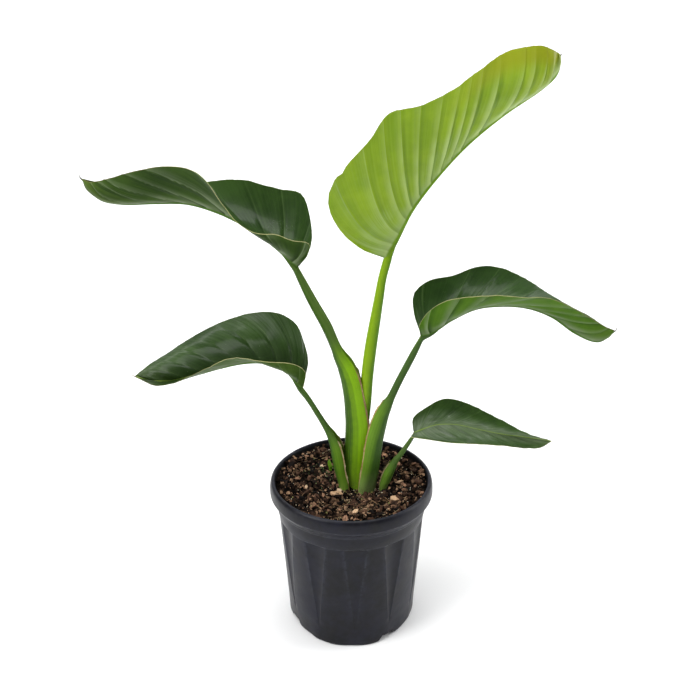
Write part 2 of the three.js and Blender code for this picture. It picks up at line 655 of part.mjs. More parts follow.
// A margin starts beside the rib, square to it, where the stalk's top is.
function marginRoute(leaf, rib, points) {
  const joint = V(...leaf.rib[0]);
  const onward = rib.getTangentAt(0);
  const aside = V(...points[0]).sub(joint);
  aside.addScaledVector(onward, -aside.dot(onward)).setLength(leaf.base);
  return route([joint.add(aside).toArray(), ...points]);
}

function buildBlade(leaf) {
  const rib = route(leaf.rib);
  const near = marginRoute(leaf, rib, leaf.near);
  const far = marginRoute(leaf, rib, leaf.far);
  const curves = { rib, near, far };
  const joint = V(...leaf.rib[0]);
  const onward = rib.getTangentAt(0);
  const rows = bladeRows(leaf);
  const columns = [
    ...ACROSS.slice(1).reverse().map((u) => ({ u, near: true })),
    ...ACROSS.map((u) => ({ u, near: false })),
  ];
  const middle = rows.map((v) => columns.map(({ u, near }) => bladePoint(leaf, curves, v, u, near)));
  const upper = [];
  const lower = [];
  const flip = leaf.turn;
  rows.forEach((v, r) => {
    columns.forEach(({ u }, c) => {
      const p = middle[r][c];
      const ahead = middle[Math.min(r + 1, rows.length - 1)][c];
      const behind = middle[Math.max(r - 1, 0)][c];
      const right = middle[r][Math.min(c + 1, columns.length - 1)];
      const left = middle[r][Math.max(c - 1, 0)];
      const normal = ahead.clone().sub(behind).cross(right.clone().sub(left)).normalize();
      normal.multiplyScalar(-flip);
      const half = BLADE_THICKNESS / 2;
      const rise = leaf.keel * (1 - 0.85 * v) * (u === 0 ? 1 : u === KEEL_SHARE ? 0.45 : 0);
      const pair = [
        p.clone().addScaledVector(normal, -half),
        p.clone().addScaledVector(normal, half + rise),
      ];
      if (r === 0) {
        pair.forEach((q) => q.addScaledVector(onward, onward.dot(joint) - onward.dot(q)));
      }
      upper.push(pair[0]);
      lower.push(pair[1]);
    });
  });
  const width = columns.length;
  const points = [...upper, ...lower];
  const under = upper.length;
  const faces = [];
  const quad = (a, b, c, d) => {
    faces.push([a, b, c], [a, c, d]);
  };
  for (let r = 0; r < rows.length - 1; r += 1) {
    for (let c = 0; c < width - 1; c += 1) {
      const a = r * width + c;
      const b = a + 1;
      const d = a + width;
      const e = d + 1;
      quad(a, b, e, d);
      faces.push([under + a, under + e, under + b], [under + a, under + d, under + e]);
    }
    const a = r * width;
    const b = a + width;
    quad(a, b, under + b, under + a);
    const c = a + width - 1;
    const d = c + width;
    quad(c, under + c, under + d, d);
  }
  const last = (rows.length - 1) * width;
  for (let c = 0; c < width - 1; c += 1) {
    quad(c, under + c, under + c + 1, c + 1);
    quad(last + c, last + c + 1, under + last + c + 1, under + last + c);
  }
  if (flip > 0) {
    faces.forEach((face) => face.reverse());
  }
  return geometryOf(points, faces);
}

// ---- Sprout -----------------------------------------------------------------------------------

// A short pointed shoot beside the stalks, with two small leaves pressed to it.
function buildSprout() {
  const stations = [
    { at: [-25, 34, 168], deep: 1.2, wide: 1.4 },
    { at: [-25, 34, 177], deep: 1.3, wide: 1.8 },
    { at: [-25.6, 34, 181], deep: 1.5, wide: 2.3 },
    { at: [-26.2, 34.2, 185], deep: 1.1, wide: 1.8 },
    { at: [-26.6, 34.4, 188], deep: 0.4, wide: 0.5 },
  ];
  const rings = stations.map((s) =>
    Array.from({ length: 8 }, (_, i) => {
      const angle = (i / 8) * Math.PI * 2;
      return V(s.at[0] + s.wide * Math.cos(angle), s.at[1] + s.deep * Math.sin(angle), s.at[2]);
    }),
  );
  return skinOfRings(rings, fanCap);
}

function sproutHole() {
  const hole = new THREE.CylinderGeometry(2.15, 2.15, 30, 10);
  hole.rotateX(Math.PI / 2);
  hole.translate(-25, 34, 168 - GAP + 15);
  return solidOf(hole);
}

// ---- The potted plant -------------------------------------------------------------------------

const potted = new THREE.Group();

function place(name, geometry, colour, roughness) {
  const material = new THREE.MeshStandardMaterial({ color: colour, roughness, metalness: 0 });
  const mesh = new THREE.Mesh(geometry, material);
  mesh.name = name;
  potted.add(mesh);
}

const LEAVES = {
  crown: { blade: 0x8fa82c, stalk: 0x86a822 },
  upper_left: { blade: 0x35521f, stalk: 0x4c6a26 },
  lower_left: { blade: 0x38582a, stalk: 0x4a6b2a },
  upper_right: { blade: 0x3d5f27, stalk: 0x4d7028 },
  lower_right: { blade: 0x4a6838, stalk: 0x54782c },
};

place("pot", buildPot(), 0x313134, 0.45);
const holes = Object.values(STALKS).map(stalkHole);
place("soil", buildSoil([...holes, sproutHole()]), 0x3a2a22, 0.95);
Object.entries(LEAVES).forEach(([name, colours]) => {
  place(`leaf_${name}_blade`, buildBlade(BLADES[name]), colours.blade, 0.4);
  place(`leaf_${name}_stalk`, buildStalk(STALKS[name], BLADES[name]), colours.stalk, 0.45);
});
place("sprout", buildSprout(), 0x6f9a2c, 0.5);

export default potted;
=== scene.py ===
"""Potted bird of paradise: a fluted nursery pot, its potting mix and one plant of five folded leaves.

Blender works in metres with Z up. The origin is the centre of the pot's underside, +X is right and
+Y is to the back. The plant's own tables are in millimetres, in the same frame.
"""

import logging
import math
from collections.abc import Iterable, Iterator, Sequence
from dataclasses import dataclass, field, replace
from enum import Enum

import bpy
import numpy as np
from mathutils import Euler, Matrix, Vector, noise


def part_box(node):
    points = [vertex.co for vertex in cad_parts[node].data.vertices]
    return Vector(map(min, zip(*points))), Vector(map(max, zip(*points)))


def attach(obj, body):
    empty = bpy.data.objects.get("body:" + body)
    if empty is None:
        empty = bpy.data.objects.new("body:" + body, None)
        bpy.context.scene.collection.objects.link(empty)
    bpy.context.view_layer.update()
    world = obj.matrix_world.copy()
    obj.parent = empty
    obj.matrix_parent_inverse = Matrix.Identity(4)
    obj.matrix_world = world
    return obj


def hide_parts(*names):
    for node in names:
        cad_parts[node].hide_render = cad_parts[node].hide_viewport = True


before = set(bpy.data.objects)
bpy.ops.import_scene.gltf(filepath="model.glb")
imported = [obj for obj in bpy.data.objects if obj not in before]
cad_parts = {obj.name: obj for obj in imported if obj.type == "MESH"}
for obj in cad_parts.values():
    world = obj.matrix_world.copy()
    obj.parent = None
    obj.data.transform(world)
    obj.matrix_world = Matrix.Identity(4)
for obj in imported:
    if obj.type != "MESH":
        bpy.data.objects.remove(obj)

LOG = logging.getLogger("potted_plant")
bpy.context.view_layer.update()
MM = 0.001

Triple = tuple[float, float, float]
Colour = tuple[float, float, float, float]
Array = np.ndarray
Material = bpy.types.Material
Node = bpy.types.Node
Socket = bpy.types.NodeSocket
Tree = bpy.types.NodeTree
Piece = bpy.types.Object


# ---- Shaping tools ------------------------------------------------------------------------------


def clear_selection() -> None:
    """Deselects every object."""
    bpy.ops.object.select_all(action="DESELECT")


def choose(piece: Piece) -> None:
    """Makes one piece the only one selected, and the active one.

    Args:
        piece: The piece.
    """
    clear_selection()
    piece.select_set(True)
    bpy.context.view_layer.objects.active = piece


def named(piece: Piece, name: str) -> Piece:
    """Gives a piece and its mesh the same name.

    Args:
        piece: The piece.
        name: Its new name.

    Returns:
        The same piece.
    """
    piece.name = name
    piece.data.name = name
    return piece


def add_sheet(name: str, columns: int, rows: int) -> Piece:
    """Adds a flat sheet of quads, ready to be laid over a form.

    Args:
        name: The piece's name.
        columns: Faces along X.
        rows: Faces along Y.

    Returns:
        The sheet, with (columns + 1) * (rows + 1) points, X running fastest.
    """
    clear_selection()
    bpy.ops.mesh.primitive_grid_add(x_subdivisions=columns, y_subdivisions=rows, size=1.0)
    return named(bpy.context.object, name)


def set_points(piece: Piece, points: Array) -> None:
    """Moves every point of a mesh.

    Args:
        piece: The piece.
        points: New places in millimetres, in the mesh's own order.
    """
    flat = np.ascontiguousarray(points.reshape(-1, 3) * MM, dtype=np.float32)
    piece.data.vertices.foreach_set("co", flat.ravel())
    piece.data.update()


def set_value(piece: Piece, name: str, values: Array) -> None:
    """Stores one number per point, for a material to read."""
    attribute = piece.data.attributes.new(name, "FLOAT", "POINT")
    attribute.data.foreach_set("value", np.ascontiguousarray(values, dtype=np.float32).ravel())


def paint_columns(piece: Piece, columns: int, slots: Sequence[int]) -> None:
    """Gives each column of a sheet's faces its own material slot.

    Args:
        piece: A sheet straight from add_sheet.
        columns: Its number of columns.
        slots: The slot of each column.
    """
    corners = np.zeros(len(piece.data.loops), dtype=np.int32)
    piece.data.loops.foreach_get("vertex_index", corners)
    first = corners.reshape(-1, 4).min(axis=1) % (columns + 1)
    indices = np.asarray(slots, dtype=np.int32)[first]
    piece.data.polygons.foreach_set("material_index", indices)


def weld(piece: Piece, distance: float = 2e-6) -> None:
    """Closes seams and poles by merging points that lie together, and turns all faces outward.

    Args:
        piece: The piece.
        distance: The widest gap that is closed, in metres.
    """
    choose(piece)
    bpy.ops.object.mode_set(mode="EDIT")
    bpy.ops.mesh.select_all(action="SELECT")
    bpy.ops.mesh.remove_doubles(threshold=distance)
    bpy.ops.mesh.dissolve_degenerate(threshold=1e-7)
    bpy.ops.mesh.normals_make_consistent(inside=False)
    bpy.ops.object.mode_set(mode="OBJECT")


def smooth(piece: Piece, degrees: float) -> None:
    """Shades a piece smoothly, except across edges sharper than an angle."""
    choose(piece)
    bpy.ops.object.shade_smooth_by_angle(angle=math.radians(degrees))


def bevel(piece: Piece, offset: float, segments: int) -> None:
    """Rounds every edge of a piece.

    Args:
        piece: The piece.
        offset: How far from each edge the rounding starts, in metres.
        segments: Its number of faces.
    """
    choose(piece)
    bpy.ops.object.mode_set(mode="EDIT")
    bpy.ops.mesh.select_all(action="SELECT")
    bpy.ops.mesh.bevel(offset=offset, segments=segments, affect="EDGES")
    bpy.ops.object.mode_set(mode="OBJECT")


def apply_modifier(piece: Piece, modifier: bpy.types.Modifier) -> None:
    """Makes a modifier's effect part of the mesh."""
    choose(piece)
    bpy.ops.object.modifier_apply(modifier=modifier.name)


def apply_boolean(piece: Piece, cutter: Piece, operation: str) -> None:
    """Joins another solid to a piece, or cuts it away, and removes that solid.

    Args:
        piece: The piece that changes.
        cutter: The solid that is used up.
        operation: "UNION" or "DIFFERENCE".
    """
    modifier = piece.modifiers.new("join_or_cut", "BOOLEAN")
    modifier.operation = operation
    modifier.solver = "EXACT"
    modifier.object = cutter
    apply_modifier(piece, modifier)
    bpy.data.objects.remove(cutter)


def tube_sheet(name: str, rings: Array) -> Piece:
    """Wraps a sheet into a closed skin over rings of points, with both ends drawn to a pole.

    Args:
        name: The piece's name.
        rings: Rings of points in millimetres, as (rings, points in a ring, 3).

    Returns:
        The skin before welding: its points run ring by ring, each with its first point again.
    """
    first = np.repeat(rings[:1].mean(axis=1, keepdims=True), rings.shape[1], axis=1)
    last = np.repeat(rings[-1:].mean(axis=1, keepdims=True), rings.shape[1], axis=1)
    closed = np.concatenate([first, rings, last])
    closed = np.concatenate([closed, closed[:, :1]], axis=1)
    piece = add_sheet(name, closed.shape[1] - 1, closed.shape[0] - 1)
    set_points(piece, closed)
    return piece


def with_ends(values: Array) -> Array:
    """Repeats the values of rings as tube_sheet repeats their points."""
    closed = np.concatenate([values[:1], values, values[-1:]])
    return np.concatenate([closed, closed[:, :1]], axis=1)


def set_on_rings(piece: Piece, shape: tuple[int, int], **values: Array) -> None:
    """Stores numbers on a skin from tube_sheet."""
    for name, numbers in values.items():
        set_value(piece, name, with_ends(np.broadcast_to(numbers, shape)))


def clamp(value: Array) -> Array:
    """Holds numbers between 0 and 1."""
    return np.clip(value, 0.0, 1.0)


def smoothstep(low: float, high: float, value: Array) -> Array:
    """A soft step from 0 at low to 1 at high."""
    t = clamp((value - low) / (high - low))
    return t * t * (3.0 - 2.0 * t)


def at_stations(values: Sequence[float], t: Array) -> Array:
    """Reads evenly spaced stations anywhere between 0 and 1, with a soft step between two.

    Args:
        values: The value at each station.
        t: Places between 0 and 1.

    Returns:
        The value at each place.
    """
    table = np.asarray(values, dtype=float)
    place = clamp(t) * (len(table) - 1)
    index = np.minimum(place.astype(int), len(table) - 2)
    share = place - index
    eased = share * share * (3.0 - 2.0 * share)
    return table[index] * (1.0 - eased) + table[index + 1] * eased


def unit(vectors: Array) -> Array:
    """Vectors of length 1 along the last axis; a vector of no length stays as it is."""
    length = np.linalg.norm(vectors, axis=-1, keepdims=True)
    return vectors / np.where(length > 1e-9, length, 1.0)


def ripple(values: Array, seed: float, octaves: int = 3) -> Array:
    """A smooth wavy line with no period.

    Args:
        values: Places along it.
        seed: Which line.
        octaves: How many finer waves are added.

    Returns:
        Heights of about -1 to 1.
    """
    total = np.zeros_like(values, dtype=float)
    for k in range(octaves):
        pace = 1.9**k
        total += np.sin(values * pace * 2.0 + seed * (3.1 + k)) * 0.6**k
        total += np.sin(values * pace * 3.7 + seed * (1.7 + 2 * k)) * 0.5 * 0.6**k
    return total / 2.2


class Route:
    """A smooth line through given points, read by its share of the length."""

    DIVISIONS = 400
    NEXT = 1e-4

    def __init__(self, points: Sequence[Sequence[float]]) -> None:
        """Takes the points that the line passes through.

        Args:
            points: The points.
        """
        inner = np.asarray(points, dtype=float)
        before = 2 * inner[0] - inner[1]
        after = 2 * inner[-1] - inner[-2]
        self.points = np.vstack([before, inner, after])
        self.steps = np.linspace(0.0, 1.0, self.DIVISIONS + 1)
        chords = np.diff(self.place(self.steps)[:, :3], axis=0)
        self.lengths = np.concatenate([[0.0], np.cumsum(np.linalg.norm(chords, axis=1))])

    @property
    def length(self) -> float:
        """The whole length."""
        return float(self.lengths[-1])

    def place(self, t: Array) -> Array:
        """Points at even steps between the given points.

        Args:
            t: Places from 0, the first point, to 1, the last.

        Returns:
            One point for each place.
        """
        spans = len(self.points) - 3
        s = clamp(np.asarray(t, dtype=float)) * spans
        i = np.minimum(s.astype(int), spans - 1)
        w = (s - i)[:, None]
        p0, p1, p2, p3 = (self.points[i + k] for k in range(4))
        leave, arrive = (p2 - p0) / 2, (p3 - p1) / 2
        cubic = 2 * p1 - 2 * p2 + leave + arrive
        square = -3 * p1 + 3 * p2 - 2 * leave - arrive
        return ((cubic * w + square) * w + leave) * w + p1

    def inner_share(self, share: Array) -> Array:
        """Turns shares of the length into places for place()."""
        return np.interp(share, self.lengths / self.lengths[-1], self.steps)

    def at(self, share: Array) -> Array:
        """Points at shares of the length."""
        return self.place(self.inner_share(share))

    def heading(self, share: Array) -> Array:
        """Unit directions along the line at shares of the length."""
        return self.slope(self.inner_share(share))

    def slope(self, t: Array) -> Array:
        """Unit directions along the line at places as place() takes them.

        Args:
            t: Places from 0 to 1.

        Returns:
            One direction for each place.
        """
        ahead = self.place(clamp(t + self.NEXT))
        behind = self.place(clamp(t - self.NEXT))
        return unit(ahead - behind)


class Seeded:
    """A repeatable stream of numbers between 0 and 1."""

    FACTOR = 16807
    MODULUS = 2147483647

    def __init__(self, seed: int) -> None:
        """Starts the stream."""
        self.state = seed

    def __call__(self) -> float:
        """The next number."""
        self.state = self.state * self.FACTOR % self.MODULUS
        return self.state / self.MODULUS


# ---- Materials ----------------------------------------------------------------------------------


def paint(red: float, green: float, blue: float) -> Colour:
    """A colour as a picture shows it, from 0 to 255, as the amount of light that it sends back.

    Args:
        red: Red.
        green: Green.
        blue: Blue.

    Returns:
        The colour.
    """

    def light(value: float) -> float:
        """One channel."""
        share = value / 255.0
        return share / 12.92 if share <= 0.04045 else ((share + 0.055) / 1.055) ** 2.4

    return (light(red), light(green), light(blue), 1.0)


class Board:
    """A node tree of a material or a group, with short ways to add to it."""

    MIX_INPUTS = (0, 6, 7)
    MIX_RESULT = 2

    def __init__(self, tree: Tree) -> None:
        """Takes the tree to add to."""
        self.tree = tree

    def add(
        self, kind: str, inputs: dict[str | int, object] | None = None, **settings: object
    ) -> Node:
        """Adds a node.

        Args:
            kind: The node's type, without "ShaderNode".
            inputs: Values or sockets for its inputs, by name or number.
            settings: Its own settings.

        Returns:
            The node.
        """
        node = self.tree.nodes.new("ShaderNode" + kind)
        for key, value in settings.items():
            setattr(node, key, value)
        for key, value in (inputs or {}).items():
            self.feed(node.inputs[key], value)
        return node

    def feed(self, target: Socket, value: object) -> None:
        """Links a socket to an input, or sets the input to a plain value.

        Args:
            target: The input.
            value: A socket or a plain value.
        """
        if isinstance(value, Socket):
            self.tree.links.new(value, target)
        else:
            target.default_value = value

    def math(self, operation: str, *numbers: object, held: bool = False) -> Socket:
        """A sum, product or other operation on numbers."""
        node = self.add("Math", dict(enumerate(numbers)), operation=operation, use_clamp=held)
        return node.outputs[0]

    def times(self, *factors: object) -> Socket:
        """The product of numbers and sockets.

        Args:
            factors: Numbers and sockets.

        Returns:
            The product.
        """
        product = factors[0]
        for factor in factors[1:]:
            product = self.math("MULTIPLY", product, factor)
        return product

    def scaled(self, value: object, factor: object, extra: object) -> Socket:
        """A value times a factor, and something more."""
        return self.math("MULTIPLY_ADD", value, factor, extra)

    def span(self, value: object, low: float, high: float, start: float = 0.0, end: float = 1.0) -> Socket:
        """Maps low..high softly to start..end, and holds it there."""
        inputs = {"Value": value, "From Min": low, "From Max": high, "To Min": start, "To Max": end}
        return self.add("MapRange", inputs, interpolation_type="SMOOTHSTEP").outputs[0]

    def mix(self, share: object, first: object, second: object, blend: str = "MIX") -> Socket:
        """Mixes two colours."""
        inputs = dict(zip(self.MIX_INPUTS, (share, first, second)))
        return self.add("Mix", inputs, data_type="RGBA", blend_type=blend).outputs[self.MIX_RESULT]

    def layers(self, colour: Socket, *over: tuple[object, object]) -> Socket:
        """Lays colours over a colour one after another, each given after its share.

        Args:
            colour: The colour below.
            over: Share and colour of each layer.

        Returns:
            The colour that shows.
        """
        for share, second in over:
            colour = self.mix(share, colour, second)
        return colour

    def noise(self, vector: Socket, scale: float, detail: float = 3.0, rough: float = 0.55) -> Socket:
        """Cloudy noise from 0 to 1 at a scale per metre."""
        inputs = {"Vector": vector, "Scale": scale, "Detail": detail, "Roughness": rough}
        return self.add("TexNoise", inputs).outputs[0]

    def values_of(self, *names: str) -> list[Socket]:
        """Numbers that the mesh stores for each point."""
        return [self.add("Attribute", attribute_name=name).outputs["Fac"] for name in names]

    def place(self) -> Socket:
        """The place on the piece, in metres."""
        return self.add("TexCoord").outputs["Object"]

    def effect(self, name: str, **inputs: object) -> Sequence[Socket]:
        """Places a shared effect with its own values, and gives its outputs.

        Args:
            name: The effect.
            inputs: Its values or sockets.

        Returns:
            Its outputs.
        """
        node = self.tree.nodes.new("ShaderNodeGroup")
        node.node_tree = EFFECTS.get(name)
        for key, value in inputs.items():
            self.feed(node.inputs[key], value)
        return node.outputs

    def bump(self, height: Socket, depth: float, under: Socket | None = None) -> Socket:
        """A normal raised by a height.

        Args:
            height: The height, from 0 to 1.
            depth: What a height of 1 stands for, in metres.
            under: Another bump that this one lies on.

        Returns:
            The normal.
        """
        inputs: dict[str | int, object] = {"Height": height, "Distance": depth, "Strength": 1.0}
        if under is not None:
            inputs["Normal"] = under
        return self.add("Bump", inputs).outputs[0]

    def grained(self, place: Socket, scale: float, depth: float, under: Socket) -> Socket:
        """A normal with fine grain on another bump, at a scale per metre and a depth in metres."""
        return self.bump(self.effect("grain", Place=place, Scale=scale)[0], depth, under)


class Effects:
    """Effects that more than one material uses, each a node group that is built once."""

    def __init__(self) -> None:
        """Starts with no group built."""
        self.built: dict[str, Tree] = {}

    def get(self, name: str) -> Tree:
        """A group by its name, built when it is first asked for.

        Args:
            name: The group's name.

        Returns:
            The group.
        """
        if name not in self.built:
            builders = {"mottle": self.mottle, "grain": self.grain, "dust": self.dust, "fibres": self.fibres}
            builders[name]()
        return self.built[name]

    def start(
        self, name: str, takes: dict[str, float | None], gives: Iterable[str]
    ) -> tuple[Board, Sequence[Socket], Sequence[Socket]]:
        """Starts a group with named inputs and outputs.

        Args:
            name: The group's name.
            takes: Default of each input; None makes it a vector.
            gives: Name of each output, all plain numbers.

        Returns:
            The board to build on, the sockets that it starts from, and those that it has to feed.
        """
        tree = bpy.data.node_groups.new(name, "ShaderNodeTree")
        for label, value in takes.items():
            kind = "NodeSocketVector" if value is None else "NodeSocketFloat"
            socket = tree.interface.new_socket(name=label, in_out="INPUT", socket_type=kind)
            if value is not None:
                socket.default_value = value
        for label in gives:
            tree.interface.new_socket(name=label, in_out="OUTPUT", socket_type="NodeSocketFloat")
        self.built[name] = tree
        return Board(tree), tree.nodes.new("NodeGroupInput").outputs, tree.nodes.new("NodeGroupOutput").inputs

    def mottle(self) -> None:
        """Soft blotches with finer ones in them, for colour that is never quite even."""
        board, taken, given = self.start("mottle", {"Place": None, "Scale": 40.0}, ["Mask"])
        large = board.noise(taken["Place"], taken["Scale"], 4.0, 0.6)
        small = board.noise(taken["Place"], board.times(taken["Scale"], 5.3), 3.0, 0.6)
        both = board.scaled(small, 0.4, large)
        board.feed(given["Mask"], board.span(both, 0.5, 0.9))

    def grain(self) -> None:
        """A fine uneven surface, as a height."""
        board, taken, given = self.start("grain", {"Place": None, "Scale": 1500.0}, ["Height"])
        coarse = board.noise(taken["Place"], board.times(taken["Scale"], 0.3), 2.0, 0.5)
        fine = board.noise(taken["Place"], taken["Scale"], 2.0, 0.6)
        board.feed(given["Height"], board.scaled(fine, 0.5, board.times(coarse, 0.5)))

    def dust(self) -> None:
        """Pale dust and small specks, thicker where the surface looks up."""
        board, taken, given = self.start("dust", {"Place": None, "Amount": 0.5}, ["Mask"])
        normal = board.add("TexCoord").outputs["Normal"]
        up = board.add("SeparateXYZ", {0: normal}).outputs["Z"]
        cover = board.span(up, -0.2, 1.0, 0.25, 1.0)
        cloud = board.span(board.noise(taken["Place"], 90.0, 5.0, 0.7), 0.42, 0.75)
        speck = board.span(board.noise(taken["Place"], 1100.0, 2.0, 0.5), 0.68, 0.74)
        both = board.math("MAXIMUM", board.times(cloud, 0.5), speck)
        board.feed(given["Mask"], board.times(both, cover, taken["Amount"]))

    def fibres(self) -> None:
        """Long streaks along a leaf's veins or a stalk, broad ones and fine ones."""
        takes = {"Across": 0.0, "Along": 0.0, "Pace": 700.0}
        board, taken, given = self.start("fibres", takes, ["Broad", "Fine", "Height"])
        across = board.times(taken["Across"], taken["Pace"])
        line = board.add("CombineXYZ", {0: across, 1: taken["Along"]}).outputs[0]
        broad = board.noise(line, 0.22, 3.0, 0.6)
        fine = board.noise(line, 1.0, 2.0, 0.55)
        ridges = board.math("SINE", board.scaled(broad, 5.0, across))
        board.feed(given["Broad"], board.span(broad, 0.32, 0.68))
        board.feed(given["Fine"], board.span(fine, 0.36, 0.66))
        height = board.scaled(ridges, 0.25, board.times(fine, 0.6))
        board.feed(given["Height"], board.math("ADD", height, 0.25))


EFFECTS = Effects()


@dataclass(frozen=True)
class Finish:
    """A finish with its name and the plain numbers of its shader."""

    name: str
    roughness: float = 0.5
    gloss: float = 0.5

    def begin(self) -> tuple[Material, Board, Node]:
        """Starts the material.

        Returns:
            The material, a board on its tree, and its shader.
        """
        material = bpy.data.materials.new(self.name)
        material.use_nodes = True
        board = Board(material.node_tree)
        shader = material.node_tree.nodes["Principled BSDF"]
        shader.inputs["Specular IOR Level"].default_value = self.gloss
        return material, board, shader

    @staticmethod
    def cover(board: Board, shader: Node, colour: Socket, rough: object, normal: Socket) -> None:
        """Gives a shader its colour, its roughness and its normal.

        Args:
            board: The board to add to.
            shader: The shader.
            colour: Its colour.
            rough: Its roughness.
            normal: Its normal.
        """
        board.feed(shader.inputs["Base Color"], colour)
        board.feed(shader.inputs["Roughness"], rough)
        board.feed(shader.inputs["Normal"], normal)


@dataclass(frozen=True)
class PotPlastic(Finish):
    """Charcoal moulded plastic with a soft shine, pale dust, lighter edges that are partly worn and partly a
    painted highlight, and painted shade inside.
    """

    dark: Colour = paint(10, 10, 16)
    pale: Colour = paint(21, 22, 34)
    # Lighter edges: partly wear, partly a painted highlight along the rounded ledges and flute lips.
    worn: Colour = paint(84, 88, 102)
    worn_share: float = 0.16
    # Painted shade inside the pot, below the rim.
    shaded: Colour = paint(6, 6, 7)
    dusty: Colour = paint(104, 98, 92)
    dust_share: float = 0.16
    wave_depth: float = 0.0006
    grain_depth: float = 0.00006

    def build(self) -> Material:
        """Builds the material.

        Returns:
            The material.
        """
        material, board, shader = self.begin()
        place = board.place()
        mask = board.effect("mottle", Place=place, Scale=26.0)[0]
        edge, inside = board.values_of("edge", "inside")
        patchy = board.span(board.noise(place, 240.0, 4.0), 0.3, 0.62)
        dust = board.effect("dust", Place=place, Amount=self.dust_share)[0]
        colour = board.layers(
            board.mix(mask, self.dark, self.pale),
            # Edges painted lighter: wear and painted highlight.
            (board.times(edge, patchy, self.worn_share), self.worn),
            (dust, self.dusty),
            # Painted shade inside the pot.
            (inside, self.shaded),
        )
        rough = board.scaled(mask, 0.1, board.scaled(inside, 0.45, self.roughness))
        rough = board.math("ADD", rough, board.times(dust, 0.3), held=True)
        waves = board.bump(board.noise(place, 38.0, 2.0), self.wave_depth)
        self.cover(board, shader, colour, rough, board.grained(place, 1800.0, self.grain_depth, waves))
        return material


# Veins of the far half are counted on from here, in metres, so that both halves differ.
FAR_SHIFT = 0.37
FAR_FROM = FAR_SHIFT - 0.01


class Side(Enum):
    """Which side of a blade a skin covers."""

    UPPER = "upper"
    UNDER = "under"


